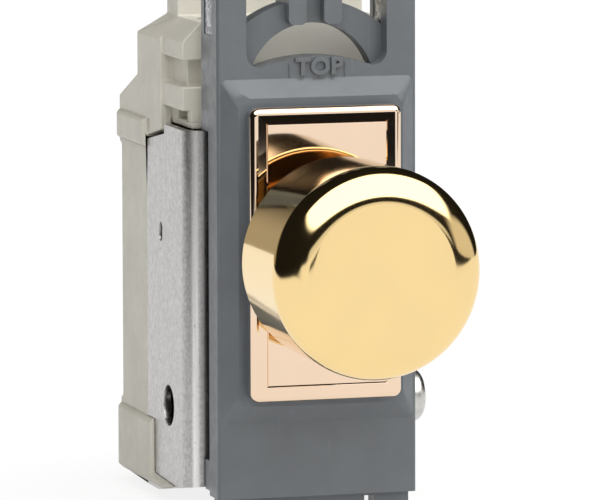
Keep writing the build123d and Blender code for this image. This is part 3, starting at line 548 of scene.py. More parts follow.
@dataclass(frozen=True)
class Finish:
    """A finish with a name; the kinds below say how it looks."""

    name: str

    def shade(self, g: Graph) -> dict:
        """Inputs of the main shader.

        Args:
            g: The material's node graph.

        Returns:
            Values and sockets by input name.
        """
        raise NotImplementedError

    def material(self) -> bpy.types.Material:
        """The finish as a material, made once.

        Returns:
            The material.
        """
        made = bpy.data.materials.get(self.name)
        if made:
            return made
        made = bpy.data.materials.new(self.name)
        made.use_nodes = True
        g = Graph(made.node_tree)
        inputs = self.shade(g)
        shader = g.add("BsdfPrincipled", inputs)
        g.add("OutputMaterial", {"Surface": shader.outputs[0]})
        return made

    def dress(self, *objects: Piece) -> None:
        """Give objects this finish.

        Args:
            *objects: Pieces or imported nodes.
        """
        for obj in objects:
            obj.data.materials.clear()
            obj.data.materials.append(self.material())


@dataclass(frozen=True)
class Moulding(Finish):
    """Moulded plastic with a fine grain, dust and thin scratches.

    It can carry painted light: a paler colour above a given height, ahead of a given depth and within a given
    half width of the middle, where the cream block shows through the frame's window.
    """

    base: Colour = (0.5, 0.5, 0.5)
    rough: float = 0.42
    mottle: float = 0.06
    wear: float = 0.35
    grain: float = 0.12
    index: float = 1.49
    painted_light: float = 0.0
    light_from: float = 18.5
    light_to: float = 9.4
    light_half: float = 8.0
    light_soft: float = 1.0
    light_colour: Colour = (1.0, 0.97, 0.86)
    cloud_scale: float = 210.0
    speck_scale: float = 5200.0
    gloss_scale: float = 900.0
    grain_scale: float = 8200.0
    grain_height: float = 3e-5
    gloss_spread: float = 0.06
    scratch_gain: float = 1.9

    def shade(self, g: Graph) -> dict:
        """Mottled colour, scratches that show paler, a grained surface and, where set, painted light at the
        frame's window.

        Args:
            g: The material's node graph.

        Returns:
            Inputs of the main shader.
        """
        here = g.place()
        cloud = g.noise(here, self.cloud_scale, 4.0, 0.6)
        colour = g.clouded(cloud, self.base, 1 - self.mottle, 1 + self.mottle)
        # Painted light: the block's front behind the frame's window is painted paler, standing in for light
        # that reaches it there.
        if self.painted_light > 0:
            place = g.add("SeparateXYZ", {0: here})
            soft = self.light_soft * MM
            high = g.step(place.outputs["Z"], self.light_from * MM, soft)
            near = g.step(place.outputs["Y"], self.light_to * MM, -soft)
            inner = g.step(g.math("ABSOLUTE", place.outputs["X"]), self.light_half * MM, -soft / 2)
            window_lit = g.times(g.times(high, near), g.times(inner, self.painted_light))
            colour = g.mix(window_lit, colour, self.light_colour)
        speck = g.ramp(g.noise(here, self.speck_scale, 1.0), 0.7, 0.76)
        lines = g.scratches((0, 24, 0), (1, 1, 0.03), 3100.0, 0.735)
        across = g.scratches((0, -58, 12), (1, 1, 0.05), 2300.0, 0.74)
        mark = g.math("ADD", g.math("ADD", lines, across), g.times(speck, 0.6), True)
        colour = g.mix(g.times(mark, self.wear), colour, tint(self.base, self.scratch_gain))
        gloss = g.noise(here, self.gloss_scale, 3.0)
        rough = g.ramp(gloss, 0.25, 0.75, self.rough - self.gloss_spread, self.rough + self.gloss_spread)
        height = g.math("SUBTRACT", g.noise(here, self.grain_scale, 2.0), g.times(mark, 0.8))
        return {"Base Color": colour, "Roughness": rough, "IOR": self.index,
                "Normal": g.bump(height, self.grain, self.grain_height)}


@dataclass(frozen=True)
class Polish(Finish):
    """Polished and lacquered metal with faint buffing marks."""

    base: Colour = (0.9, 0.7, 0.4)
    rough: float = 0.05
    cloud_scale: float = 160.0
    hair_scale: float = 5200.0
    hair_rough: float = 0.03

    def shade(self, g: Graph) -> dict:
        """Even colour with a faint cloud, and fine hairlines in the gloss.

        Args:
            g: The material's node graph.

        Returns:
            Inputs of the main shader.
        """
        cloud = g.noise(g.place(), self.cloud_scale, 3.0)
        colour = g.clouded(cloud, self.base, 0.985, 1.015)
        hair = g.scratches((18, 35, 0), (1, 1, 0.02), self.hair_scale, 0.72)
        rough = g.math("ADD", g.ramp(cloud, 0.3, 0.7, self.rough * 0.85, self.rough * 1.15),
                       g.times(hair, self.hair_rough))
        return {"Base Color": colour, "Metallic": 1.0, "Roughness": rough}


@dataclass(frozen=True)
class RolledMetal(Finish):
    """Rolled sheet with fine lines one way and soft scuffs, with a painted highlight along its folds.

    fold is the middle of the folds, across and in depth. The painted highlight line and the strip of painted
    shade beside it lie between angles about that middle, in radians from straight outwards.
    """

    base: Colour = (0.6, 0.6, 0.6)
    rough: float = 0.4
    lines: Point = (1.0, 1.0, 0.02)
    scuff: float = 0.5
    fold: Pair = (10.2, 8.05)
    highlight_from: Pair = (0.72, 0.92)
    highlight_to: Pair = (1.22, 1.04)
    highlight_gain: float = 1.75
    shade_from: Pair = (1.12, 1.36)
    shade_share: float = 0.65
    shade_gain: float = 0.35
    streak_scale: float = 4200.0
    patch_scale: float = 260.0
    rub_scale: float = 900.0
    fleck_scale: float = 2300.0
    fleck_share: float = 0.65
    pit_scale: float = 3600.0

    def shade(self, g: Graph) -> dict:
        """Streaked colour and gloss, with paler scuffed patches, a painted highlight along the folds and
        painted shade beside it and over the web's front.

        Args:
            g: The material's node graph.

        Returns:
            Inputs of the main shader.
        """
        here = g.place()
        streak = g.noise(g.place(self.lines), self.streak_scale, 3.0, 0.7)
        patch = g.ramp(g.noise(here, self.patch_scale, 4.0, 0.65), 0.42, 0.68)
        rub = g.noise(g.place((1, 0.3, 0.3), (32, 0, 0)), self.rub_scale, 4.0, 0.7)
        scuff = g.times(g.ramp(rub, 0.5, 0.68), patch)
        fleck = g.noise(here, self.fleck_scale, 3.0, 0.75)
        tone = g.math("ADD", g.times(streak, 1 - self.fleck_share), g.times(fleck, self.fleck_share))
        colour = g.mix(g.ramp(tone, 0.36, 0.64), tint(self.base, 0.78), tint(self.base, 1.2))
        colour = g.mix(g.times(scuff, self.scuff), colour, tint(self.base, 1.25))
        place = g.add("SeparateXYZ", {0: here})
        out = g.math("SUBTRACT", g.math("ABSOLUTE", place.outputs["X"]), self.fold[0] * MM)
        ahead = g.math("SUBTRACT", self.fold[1] * MM, place.outputs["Y"])
        angle = g.math("ARCTAN2", ahead, out)
        # Painted highlight along the bend, standing in for the reflection of the bright table.
        painted_highlight = g.times(g.ramp(angle, *self.highlight_from), g.ramp(angle, *self.highlight_to))
        colour = g.mix(painted_highlight, colour, tint(self.base, self.highlight_gain))
        # Painted shade beside the bend and over the web's front, where the frame's shadow and dark
        # reflections fall.
        painted_shade = g.ramp(angle, *self.shade_from, 0.0, self.shade_share)
        colour = g.mix(painted_shade, colour, tint(self.base, self.shade_gain))
        pit = g.ramp(g.noise(here, self.pit_scale, 2.0), 0.68, 0.76)
        colour = g.mix(g.times(pit, 0.5), colour, tint(self.base, 0.45))
        rough = g.math("ADD", g.ramp(streak, 0.2, 0.8, self.rough - 0.1, self.rough + 0.1),
                       g.times(scuff, 0.12))
        height = g.math("SUBTRACT", g.times(streak, 0.5), pit)
        return {"Base Color": colour, "Metallic": 1.0, "Roughness": rough,
                "Normal": g.bump(height, 0.18, 2e-5)}


@dataclass(frozen=True)
class Plating(Finish):
    """Plated steel, either plain or with spangles."""

    base: Colour = (0.62, 0.61, 0.58)
    rough: float = 0.28
    spangle: float = 0.0
    cloud_scale: float = 700.0
    cell_scale: float = 2200.0
    grain_scale: float = 4200.0

    def shade(self, g: Graph) -> dict:
        """Cloudy metal, broken into bright and dark cells where it has spangles.

        Args:
            g: The material's node graph.

        Returns:
            Inputs of the main shader.
        """
        here = g.place()
        cloud = g.noise(here, self.cloud_scale, 3.0)
        colour = g.clouded(cloud, self.base, 0.86, 1.1)
        if self.spangle > 0:
            cells = g.add("TexVoronoi", {"Vector": here, "Scale": self.cell_scale}, feature="F1")
            tone = g.add("SeparateColor", {0: cells.outputs["Color"]}).outputs[0]
            share = g.times(g.ramp(tone, 0.1, 0.9), self.spangle)
            colour = g.mix(share, colour, tint(self.base, 0.2))
        rough = g.ramp(cloud, 0.25, 0.75, self.rough - 0.07, self.rough + 0.07)
        return {"Base Color": colour, "Metallic": 1.0, "Roughness": rough,
                "Normal": g.bump(g.noise(here, self.grain_scale, 2.0), 0.12, 2e-5)}


@dataclass(frozen=True)
class Laminate(Finish):
    """Pressed laminate or hard rubber with a woven or granular body."""

    base: Colour = (0.1, 0.1, 0.1)
    rough: float = 0.45
    second: Colour = (0.2, 0.2, 0.2)
    pitch: float = 1500.0

    def shade(self, g: Graph) -> dict:
        """Two tones in a fine weave.

        Args:
            g: The material's node graph.

        Returns:
            Inputs of the main shader.
        """
        here = g.place()
        thread = {"Vector": here, "Scale": self.pitch / 6, "Distortion": 1.5}
        warp = g.add("TexWave", thread, bands_direction="X").outputs["Fac"]
        weft = g.add("TexWave", thread, bands_direction="Z").outputs["Fac"]
        weave = g.times(g.math("ADD", warp, weft), 0.5)
        tone = g.times(g.math("ADD", weave, g.noise(here, self.pitch, 3.0)), 0.5)
        colour = g.mix(g.ramp(tone, 0.3, 0.7), self.base, self.second)
        rough = g.ramp(tone, 0.2, 0.8, self.rough - 0.08, self.rough + 0.08)
        return {"Base Color": colour, "Roughness": rough, "Normal": g.bump(tone, 0.1, 3e-5)}


@dataclass(frozen=True)
class Winding(Finish):
    """Enamelled wire laid round a ring."""

    base: Colour = (0.42, 0.12, 0.04)
    turns: float = 60.0
    middle: Point = (0.0, 0.0, -13.0)

    def shade(self, g: Graph) -> dict:
        """Fine ribs round the ring's axis, with painted shade in the grooves between the turns.

        Args:
            g: The material's node graph.

        Returns:
            Inputs of the main shader.
        """
        shift = [-m * MM for m in self.middle]
        centred = g.add("Mapping", {"Vector": g.place(), "Location": shift}).outputs[0]
        parts = g.add("SeparateXYZ", {0: centred})
        angle = g.math("ARCTAN2", parts.outputs["X"], parts.outputs["Z"])
        rib = g.math("ABSOLUTE", g.math("SINE", g.times(angle, self.turns / 2)))
        # Painted shade: the colour darkens in the grooves between the turns.
        colour = g.mix(g.ramp(rib, 0.05, 0.6), tint(self.base, 0.25), self.base)
        return {"Base Color": colour, "Metallic": 0.6, "Roughness": 0.3, "Normal": g.bump(rib, 0.6, 2e-4)}


@dataclass(frozen=True)
class ClearBody(Finish):
    """Slightly cloudy glass of a small component."""

    base: Colour = (0.75, 0.70, 0.62)

    def shade(self, g: Graph) -> dict:
        """Half clear body with streaks.

        Args:
            g: The material's node graph.

        Returns:
            Inputs of the main shader.
        """
        streak = g.noise(g.place((0.2, 1, 1)), 900.0, 3.0)
        colour = g.clouded(streak, self.base, 0.8, 1.0)
        rough = g.ramp(streak, 0.3, 0.7, 0.06, 0.14)
        return {"Base Color": colour, "Roughness": rough, "Transmission Weight": 0.6, "IOR": 1.5}


GREY = Moulding("grey_moulding", base=(0.108, 0.120, 0.131), rough=0.35, mottle=0.06, wear=0.15, index=1.62)
# The cream moulding carries painted light where the block shows through the frame's window.
CREAM = Moulding("cream_moulding", base=(0.58, 0.556, 0.483), rough=0.46, mottle=0.05, wear=0.2, painted_light=0.8)
BLACK = Moulding("black_moulding", base=(0.03, 0.03, 0.032), rough=0.45, mottle=0.1, wear=0.15)
KNOB_BRASS = Polish("knob_brass", base=(0.91, 0.68, 0.33), rough=0.085)
PLATE_BRASS = Polish("plate_brass", base=(0.86, 0.66, 0.49), rough=0.04)
TURNED_BRASS = Plating("turned_brass", base=(0.70, 0.52, 0.26), rough=0.25)
# The rolled aluminium carries a painted highlight and painted shade along its folds.
ALUMINIUM = RolledMetal("rolled_aluminium", base=(0.49, 0.478, 0.47), rough=0.30, scuff=1.0)
ZINC = Plating("zinc_plating", base=(0.62, 0.61, 0.58), rough=0.28)
SPANGLED = Plating("spangled_plating", base=(0.40, 0.40, 0.43), rough=0.22, spangle=0.95)
TRACK = Laminate("track_laminate", base=(0.26, 0.14, 0.06), second=(0.36, 0.21, 0.10))
BOARD = Laminate("board_laminate", base=(0.03, 0.12, 0.05), second=(0.06, 0.19, 0.09), rough=0.35)
PAD = Laminate("pad_rubber", base=(0.40, 0.41, 0.43), second=(0.49, 0.50, 0.52), rough=0.6, pitch=2600.0)
FERRITE = Laminate("sintered_ferrite", base=(0.035, 0.035, 0.04), second=(0.07, 0.07, 0.075), rough=0.6)
SHELL = Moulding("capacitor_shell", base=(0.50, 0.30, 0.03), rough=0.25, mottle=0.05, wear=0.1)
COPPER = Winding("enamelled_copper")
GLASS = ClearBody("component_glass")


# The module's pieces


@dataclass
class KnobDrum:
    """Turned brass drum that is pushed and turned."""

    node: str = "knob"
    rear: float = -8.37
    face: float = -23.77
    radius: float = 10.58
    flare: float = 0.27
    taper_front: Pair = (6.25, 0.18)
    taper_rear: Pair = (-3.0, 0.03)
    rim: float = 0.45
    rim_steps: int = 8
    dome: float = 0.18
    crown: tuple[Pair, ...] = ((7.3, 2.2), (7.9, 10.5), (10.1, 46.0))
    crown_steps: tuple[int, ...] = (12, 12, 28, 28)
    hub_radius: float = 6.0
    hub_rear: float = -5.97
    fillet: float = 0.3
    fillet_steps: int = 5
    bore_radius: float = 4.6
    bore_end: float = -20.17
    break_edge: float = 0.2
    steps: int = 256

    def profile(self) -> list[Pair]:
        """Half section from the face's middle round to the end of the bore.

        The crown is a chain of arcs, each of which ends at a radius with a tilt of the surface in degrees.

        Returns:
            Depth and radius of each point in millimetres.
        """
        wide = self.radius + self.flare
        points = [(self.face - self.dome, 0.0)]
        lean = 0.0
        for (r, tilt), count in zip((*self.crown, (wide, 90.0)), self.crown_steps):
            y0, r0 = points[-1]
            bend = (r - r0) / (math.sin(math.radians(tilt)) - math.sin(math.radians(lean)))
            middle = (y0 + bend * math.cos(math.radians(lean)), r0 - bend * math.sin(math.radians(lean)))
            points += arc(middle, bend, 180 - lean, 180 - tilt, count)[1:]
            lean = tilt
        for start, (depth, extra) in ((self.face, self.taper_front), (self.rear, self.taper_rear)):
            points.append((start + depth, self.radius + extra))
        points += arc((self.rear - self.rim, self.radius - self.rim), self.rim, 90, 0, self.rim_steps)
        root = self.hub_radius + self.fillet
        points.append((self.rear, root))
        points += arc((self.rear + self.fillet, root), self.fillet, 180, 270, self.fillet_steps)
        b = self.break_edge
        points += [(self.hub_rear - b, self.hub_radius), (self.hub_rear, self.hub_radius - b),
                   (self.hub_rear, self.bore_radius + b), (self.hub_rear - b, self.bore_radius),
                   (self.bore_end, self.bore_radius), (self.bore_end, 0.0)]
        return points

    def build(self) -> None:
        """Turn the drum and dress it."""
        obj = turned("brass_knob", self.profile(), self.steps)
        smooth(obj, angle=30)
        modifier(obj, "WEIGHTED_NORMAL", keep_sharp=True, weight=50)
        KNOB_BRASS.dress(obj)
        bind(obj, Body.KNOB, Slot.BRASS, self.node)


@dataclass
class FacePlate:
    """Flat brass plate behind the knob, with a bright bevelled border."""

    node: str = "face_plate"
    width: float = 16.2
    height: float = 30.5
    front: float = -3.70
    seat: float = -2.90
    edge: float = 0.64
    corner: float = 0.95
    border: float = 0.85
    drop: float = 0.104
    groove: float = 0.08
    corner_steps: int = 12
    edge_steps: int = 10
    hole: float = 7.2
    hole_margin: float = 0.3
    facing: float = 0.992
    tab_width: float = 3.0
    tab_sheet: float = 0.8
    tab_length: float = 6.0
    tab_edge: float = 1.6
    tab_sunk: float = 0.1

    def tabs(self) -> list[Piece]:
        """Folded tabs behind both ends of the plate.

        Returns:
            The two tabs.
        """
        high = self.height / 2 - self.tab_edge
        low = high - self.tab_sheet
        half = self.tab_width / 2
        root, end = self.seat - self.tab_sunk, self.seat + self.tab_length
        return [cube("tab_upper", (-half, root, low), (half, end, high)),
                cube("tab_lower", (-half, root, -high), (half, end, -low))]

    def pierce(self, obj: Piece) -> None:
        """Open a round hole through the plate, which is in edit mode.

        Args:
            obj: The plate without its hole.
        """
        for y in (self.front * MM, self.seat * MM):
            level = at_depth(y)
            pick(obj, "FACE", level)
            bpy.ops.mesh.delete(type="ONLY_FACE")
            rim = pick(obj, "EDGE", lambda e: len(e.link_faces) == 1 and level(e))
            if rim == 4:
                bpy.ops.mesh.subdivide(number_cuts=self.corner_steps)
            bpy.ops.mesh.edge_face_add()
            pick(obj, "FACE", level)
            bpy.ops.mesh.inset(thickness=self.hole_margin * MM)
            bpy.ops.transform.tosphere(value=1.0)
            reach = max(v.co.xz.length for v in bmesh.from_edit_mesh(obj.data).verts if v.select)
            gain = self.hole / 2 * MM / reach
            bpy.ops.transform.resize(value=(gain, 1, gain), center_override=(0, y, 0))
            bpy.ops.mesh.delete(type="ONLY_FACE")
        pick(obj, "EDGE", lambda e: len(e.link_faces) == 1)
        bpy.ops.mesh.bridge_edge_loops()

    def build(self) -> None:
        """Cut the plate from a block, bevel and pierce it, and dress it."""
        w, h = self.width / 2, self.height / 2
        land = (self.front + self.drop) * MM
        obj = cube("brass_face_plate", (-w, self.front + self.drop, -h), (w, self.seat, h))
        bpy.ops.object.mode_set(mode="EDIT")
        pick(obj, "EDGE", lambda e: abs((e.verts[0].co - e.verts[1].co).normalized().y) > ALONG)
        bpy.ops.mesh.bevel(offset=self.corner * MM, segments=self.corner_steps, affect="EDGES",
                           offset_type="OFFSET")
        pick(obj, "EDGE", at_depth(land))
        bpy.ops.mesh.bevel(offset=self.edge * MM, segments=self.edge_steps, affect="EDGES",
                           offset_type="OFFSET")
        for sx, sz in ((1, 1), (1, -1), (-1, -1), (-1, 1)):
            pick(obj, "VERT", lambda v: abs(v.co.y - land) < NEAR and v.co.x * sx > 0 and v.co.z * sz > 0)
            bpy.ops.mesh.merge(type="CENTER")
        pick(obj, "FACE", at_depth(land))
        bpy.ops.mesh.inset(thickness=self.border * MM)
        bpy.ops.transform.translate(value=(0, -self.drop * MM, 0))
        for depth in (self.groove, -self.groove):
            bpy.ops.mesh.inset(thickness=self.groove * MM)
            bpy.ops.transform.translate(value=(0, depth * MM, 0))
        self.pierce(obj)
        bpy.ops.object.mode_set(mode="OBJECT")
        obj = join("brass_face_plate", [obj, *self.tabs()])
        smooth(obj, angle=30)
        bpy.ops.object.mode_set(mode="EDIT")
        pick(obj, "FACE", lambda f: f.normal.y < -self.facing)
        bpy.ops.mesh.faces_shade_flat()
        bpy.ops.object.mode_set(mode="OBJECT")
        PLATE_BRASS.dress(obj)
        bind(obj, Body.MODULE, Slot.BRASS, self.node)


@dataclass
class RaisedWord:
    """Moulded word on the frame that shows which way up it goes, between two short ribs."""

    body: str = "TOP"
    size: float = 2.6
    spacing: float = 1.08
    left: float = -2.40
    right: float = 2.76
    low: float = 18.16
    high: float = 20.05
    proud: float = 0.38
    swell: float = 0.06
    edge: float = 0.06
    sunk: float = 0.1
    ribs: Pair = (-2.95, 3.0)
    rib_width: float = 0.16
    rib_proud: float = 0.12
    rib_below: float = 0.2
    rib_short: float = 0.55
    rib_edge: float = 0.05

    def build(self) -> Piece:
        """Form the letters and ribs from the front plane of the frame.

        Returns:
            The joined letters and ribs.
        """
        clear_selection()
        bpy.ops.object.text_add(rotation=(math.pi / 2, 0, 0))
        text = bpy.context.object
        text.data.body = self.body
        text.data.size = self.size * MM
        text.data.resolution_u = 6
        text.data.space_character = self.spacing
        text.data.extrude = (self.proud + self.sunk) / 2 * MM
        text.data.bevel_depth = self.edge * MM
        text.data.offset = self.swell * MM
        text.data.bevel_resolution = 1
        bpy.ops.object.convert(target="MESH")
        word = bpy.context.object
        settle(word)
        spans = list(zip(*(v.co for v in word.data.vertices)))
        wanted = (self.right - self.left, self.proud + self.sunk, self.high - self.low)
        gains = [size * MM / (max(span) - min(span)) for size, span in zip(wanted, spans)]
        only(word)
        bpy.ops.object.mode_set(mode="EDIT")
        bpy.ops.mesh.select_all(action="SELECT")
        bpy.ops.transform.translate(value=[-min(span) for span in spans])
        bpy.ops.transform.resize(value=gains, center_override=(0, 0, 0))
        bpy.ops.transform.translate(value=(self.left * MM, -self.proud * MM, self.low * MM))
        bpy.ops.object.mode_set(mode="OBJECT")
        pieces = [word]
        for x in self.ribs:
            rib = cube("rib", (x - self.rib_width / 2, -self.rib_proud, self.low - self.rib_below),
                       (x + self.rib_width / 2, self.sunk, self.high - self.rib_short))
            modifier(rib, "BEVEL", width=self.rib_edge * MM, segments=2)
            pieces.append(rib)
        return join("raised_word", pieces)


@dataclass
class GridFrame:
    """Grey moulded frame with its raised word."""

    node: str = "grid_frame"
    edge: float = 0.18

    def build(self) -> None:
        """Round the frame's edges, add the word and dress it."""
        obj = worked_copy(self.node, "moulded_grid_frame", self.edge)
        word = RaisedWord().build()
        smooth(word)
        obj = join("moulded_grid_frame", [obj, word])
        GREY.dress(obj)
        bind(obj, Body.MODULE, Slot.GREY, self.node)


@dataclass
class HeatsinkBracket:
    """Folded aluminium channel behind the frame."""

    node: str = "heatsink_bracket"
    edge: float = 0.1

    def build(self) -> None:
        """Round the sheet's cut edges and dress it."""
        obj = worked_copy(self.node, "folded_heatsink", self.edge)
        ALUMINIUM.dress(obj)
        bind(obj, Body.MODULE, Slot.ALUMINIUM, self.node)


@dataclass
class RearCase:
    """Cream moulded case with its clips and stepped bands."""

    node: str = "rear_case"
    edge: float = 0.15
    clip_face: float = 12.9
    clip_round: float = 0.5
    clip_steps: int = 4
    lip_low: Point = (9.9, 8.4, 12.1)
    lip_high: Point = (11.1, 16.2, 12.8)
    lip_edge: float = 0.12

    def lips(self) -> list[Piece]:
        """Lips under the side blocks, which close the gap above the bracket.

        Returns:
            One lip for each side.
        """
        (x0, y0, z0), (x1, y1, z1) = self.lip_low, self.lip_high
        made = [cube("lip_left", (-x1, y0, z0), (-x0, y1, z1)),
                cube("lip_right", (x0, y0, z0), (x1, y1, z1))]
        for lip in made:
            modifier(lip, "BEVEL", width=self.lip_edge * MM, segments=2)
            smooth(lip)
        return made

    def build(self) -> None:
        """Round the case's edges, add the lips and dress it."""
        obj = worked_copy(self.node, "cream_rear_case", 0)
        only(obj)
        bpy.ops.object.mode_set(mode="EDIT")
        pick(obj, "EDGE", lambda e: all(abs(v.co.x) > self.clip_face * MM for v in e.verts))
        bpy.ops.mesh.bevel(offset=self.clip_round * MM, segments=self.clip_steps, affect="EDGES",
                           clamp_overlap=True)
        bpy.ops.object.mode_set(mode="OBJECT")
        round_edges(obj, self.edge, clamp=False)
        even_normals(obj)
        obj = join("cream_rear_case", [obj, *self.lips()])
        CREAM.dress(obj)
        bind(obj, Body.MODULE, Slot.CREAM, self.node)


@dataclass
class ReturnSpring:
    """Coil behind the plunger, which shortens as the knob is pushed."""

    node: str = "return_spring"
    joint: str = "knob_push"
    stroke: float = 1.6

    def build(self) -> None:
        """Copy the coil, dress it and give it a mesh of its own."""
        obj = worked_copy(self.node, "coiled_return_spring", 0)
        ZINC.dress(obj)
        bind(obj, Body.MODULE, Slot.STEEL, self.node)
        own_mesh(obj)


@dataclass
class InnerWorks:
    """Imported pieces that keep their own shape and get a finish."""

    finishes: dict[str, Finish] = field(default_factory=lambda: {
        "dark_plastic": BLACK,
        "plated_steel": ZINC,
        "shaft_brass": TURNED_BRASS,
        "cream_plastic": CREAM,
        "track_laminate": TRACK,
        "board_laminate": BOARD,
        "pad_rubber": PAD,
        "ferrite": FERRITE,
        "enamelled_copper": COPPER,
        "capacitor_shell": SHELL,
        "component_glass": GLASS,
    })
    spangled: tuple[str, ...] = ("leg_insert_left", "leg_insert_right")

    def dress(self, replaced: Iterable[str]) -> None:
        """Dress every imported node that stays.

        Args:
            replaced: Nodes that new pieces stand for.
        """
        slots = {row["node"]: row["material_slot"] for row in frame["record"]["subparts"]}
        for name, obj in frame["nodes"].items():
            if name in replaced:
                continue
            finish = SPANGLED if name in self.spangled else self.finishes[slots[name]]
            finish.dress(obj)
            smooth(obj, angle=28)
            log.info("%s: %s", name, finish.name)


# Studio


@dataclass(frozen=True)
class Card:
    """Round patch of the studio that polished metal shows."""

    azimuth: float
    elevation: float
    radius: float
    soft: float
    colour: Colour

    def axis(self) -> Vector:
        """Direction of the card's middle."""
        a, e = math.radians(self.azimuth), math.radians(self.elevation)
        return Vector((math.sin(a) * math.cos(e), -math.cos(a) * math.cos(e), math.sin(e)))


@dataclass
class Studio:
    """White table under one large soft box, with dark walls round them, and the camera.

    Places on the table are in metres. A slant turns an edge of the table away from straight ahead.
    """

    floor_z: float = -28.25
    floor_span: float = 6.0
    table_left: float = -0.245
    table_left_soft: float = 0.06
    table_front: float = -0.255
    table_front_soft: float = 0.05
    back_slant: float = 0.5
    lead_from: float = -0.04
    lead_soft: float = 0.08
    lead_slant: float = 0.5
    dark_near: float = -0.37
    dark_far: float = -0.60
    dark_left: float = -0.04
    dark_slant: float = 0.13
    dark_soft: float = 0.01
    wall_near: float = -0.285
    wall_right: float = 0.026
    wall_slant: float = 0.43
    depth_soft: float = 0.015
    white: float = 0.84
    veil: Colour = (0.17, 0.17, 0.17)
    unlit: Colour = (0.01, 0.01, 0.01)
    paper: Colour = (0.8, 0.8, 0.8)
    camera_at: Point = (-192.5, -652.3, 80.2)
    view: Point = (0.2811, 0.9525, -0.1172)
    roll: float = 0.131
    lens: float = 397.17
    sensor: float = 36.0
    shift: Pair = (-0.0290, 0.00097)
    dark: Colour = (0.012, 0.011, 0.010)
    fill: Colour = (0.34, 0.335, 0.33)
    cards: tuple[Card, ...] = (
        Card(-164, -25, 36, 6, (0.42, 0.37, 0.29)),
        Card(58, 17.5, 4, 2, (0.90, 1.00, 0.80)),
        Card(70, -12, 32, 4, (0.76, 0.73, 0.68)),
    )
    sweep: Card = Card(10, 0, 23, 4, (0.84, 0.84, 0.84))
    sweep_rise: Pair = (0.09, 0.06)
    front_fill: Card = Card(16, 8, 45, 20, (1.1, 1.08, 1.05))
    soft_box: Card = Card(18, 61, 51, 3, (2.5, 2.5, 2.5))
    box_edge: Point = (0.275, -0.959, -0.07)
    box_soft: float = 0.04
    box_rise: Pair = (0.27, 0.33)

    def camera(self) -> None:
        """Set the camera at the photograph's place and angle."""
        data = bpy.data.cameras.new("camera")
        data.lens = self.lens
        data.sensor_width = self.sensor
        data.shift_x, data.shift_y = self.shift
        data.clip_start = 0.01
        data.clip_end = 50.0
        obj = bpy.data.objects.new("camera", data)
        bpy.context.scene.collection.objects.link(obj)
        obj.location = [c * MM for c in self.camera_at]
        facing = Vector(self.view).to_track_quat("-Z", "Y")
        obj.rotation_mode = "QUATERNION"
        obj.rotation_quaternion = facing @ Quaternion((0, 0, 1), math.radians(-self.roll))
        bpy.context.scene.camera = obj

    def table(self, g: Graph) -> Socket:
        """Where polished metal sees the white table, apart from a dark card and a dark wall in front.

        Args:
            g: The floor's node graph.

        Returns:
            Mask of the white part.
        """
        place = g.add("SeparateXYZ", {0: g.place()})
        x, y = place.outputs["X"], place.outputs["Y"]
        behind = g.times(g.math("MAXIMUM", y, 0.0), self.back_slant)
        right = g.step(g.math("ADD", x, behind), self.table_left, self.table_left_soft)
        back = g.step(y, self.table_front, self.table_front_soft)
        lead = g.math("SUBTRACT", x, g.times(y, self.lead_slant))
        ahead = g.step(lead, self.lead_from, self.lead_soft)
        white = g.math("MAXIMUM", g.times(right, back), ahead)
        depth = g.times(g.step(y, self.dark_near, -self.depth_soft),
                        g.step(y, self.dark_far, self.depth_soft))
        aside = g.step(g.math("ADD", x, g.times(y, self.dark_slant)), 0.0, -self.dark_soft)
        width = g.times(aside, g.step(x, self.dark_left, self.dark_soft))
        beside = g.math("ADD", x, g.times(y, self.wall_slant))
        wall = g.times(g.step(beside, self.wall_right, self.dark_soft),
                       g.step(y, self.wall_near, -self.depth_soft))
        dark = g.math("MAXIMUM", g.times(depth, width), wall)
        return g.times(white, g.math("SUBTRACT", 1.0, dark))

    def floor(self) -> None:
        """Lay the white floor, which keeps a faint shadow."""
        clear_selection()
        bpy.ops.mesh.primitive_plane_add(size=self.floor_span, location=(0, 0, self.floor_z * MM))
        obj = bpy.context.object
        obj.name = "studio_floor"
        settle(obj)
        mat = bpy.data.materials.new("studio_floor")
        mat.use_nodes = True
        g = Graph(mat.node_tree)
        path = g.add("LightPath")
        glossy = g.math("MAXIMUM", path.outputs["Is Glossy Ray"], path.outputs["Is Transmission Ray"])
        seen = g.math("MAXIMUM", path.outputs["Is Camera Ray"], glossy)
        level = g.math("MAXIMUM", self.table(g), path.outputs["Is Camera Ray"])
        glow = g.add("Emission", {"Color": (1, 1, 1, 1), "Strength": g.times(level, self.white)})
        veil = g.add("BsdfDiffuse", {"Color": g.mix(level, self.unlit, self.veil)})
        shown = g.add("AddShader", {0: glow.outputs[0], 1: veil.outputs[0]})
        plain = g.add("BsdfDiffuse", {"Color": (*self.paper, 1)})
        both = g.add("MixShader", {0: seen, 1: plain.outputs[0], 2: shown.outputs[0]})
        g.add("OutputMaterial", {"Surface": both.outputs[0]})
        obj.data.materials.append(mat)

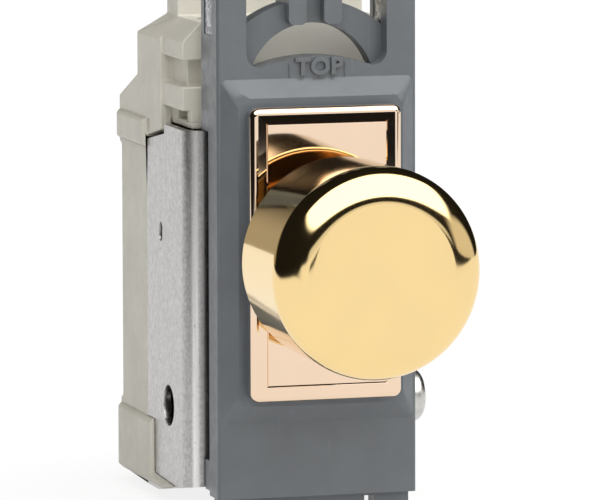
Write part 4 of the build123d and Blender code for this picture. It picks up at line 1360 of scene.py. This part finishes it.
    def patch(self, g: Graph, way: Socket, card: Card) -> Socket:
        """Where a card shows.

        Args:
            g: The world's node graph.
            way: Direction of the ray.
            card: The card.

        Returns:
            Mask of the card.
        """
        dot = g.add("VectorMath", {0: way, 1: card.axis()}, operation="DOT_PRODUCT").outputs["Value"]
        low = math.cos(math.radians(card.radius + card.soft))
        high = math.cos(math.radians(card.radius - card.soft))
        return g.ramp(dot, low, high)

    def world(self) -> None:
        """Light the module from one large soft box, with dark walls and cards that polished metal shows."""
        world = bpy.data.worlds.new("studio")
        bpy.context.scene.world = world
        world.use_nodes = True
        g = Graph(world.node_tree)
        way = g.add("TexCoord").outputs["Generated"]
        path = g.add("LightPath")
        wide = g.mix(self.patch(g, way, self.front_fill), self.fill, self.front_fill.colour)
        sharp = self.dark
        for card in self.cards:
            sharp = g.mix(self.patch(g, way, card), sharp, card.colour)
        rise = g.add("SeparateXYZ", {0: way}).outputs["Z"]
        low = g.times(self.patch(g, way, self.sweep), g.ramp(rise, *self.sweep_rise))
        sharp = g.mix(low, sharp, self.sweep.colour)
        colour = g.mix(path.outputs["Is Glossy Ray"], wide, sharp)
        side = g.add("VectorMath", {0: way, 1: self.box_edge}, operation="DOT_PRODUCT").outputs["Value"]
        box = g.times(self.patch(g, way, self.soft_box), g.step(side, 0.0, self.box_soft))
        box = g.times(box, g.ramp(rise, *self.box_rise))
        colour = g.mix(box, colour, self.soft_box.colour)
        lit = g.add("Background", {"Color": colour, "Strength": 1.0})
        plain = g.add("Background", {"Color": (1, 1, 1, 1), "Strength": 1.0})
        clear = g.math("MAXIMUM", path.outputs["Is Camera Ray"], path.outputs["Is Transmission Ray"])
        both = g.add("MixShader", {0: clear, 1: lit.outputs[0], 2: plain.outputs[0]})
        g.add("OutputWorld", {"Surface": both.outputs[0]})

    def build(self) -> None:
        """Set up the camera, the floor and the light."""
        self.camera()
        self.floor()
        self.world()
        bpy.context.scene.view_settings.view_transform = "Standard"


def main() -> None:
    """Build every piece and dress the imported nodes."""
    logging.basicConfig(level=logging.INFO, format="%(name)s: %(message)s")
    clear_selection()
    pieces = (KnobDrum(), FacePlate(), GridFrame(), HeatsinkBracket(), RearCase(), ReturnSpring())
    for piece in pieces:
        piece.build()
    InnerWorks().dress({piece.node for piece in pieces})
    Studio().build()
    clear_selection()


if __name__ == "__main__":
    main()
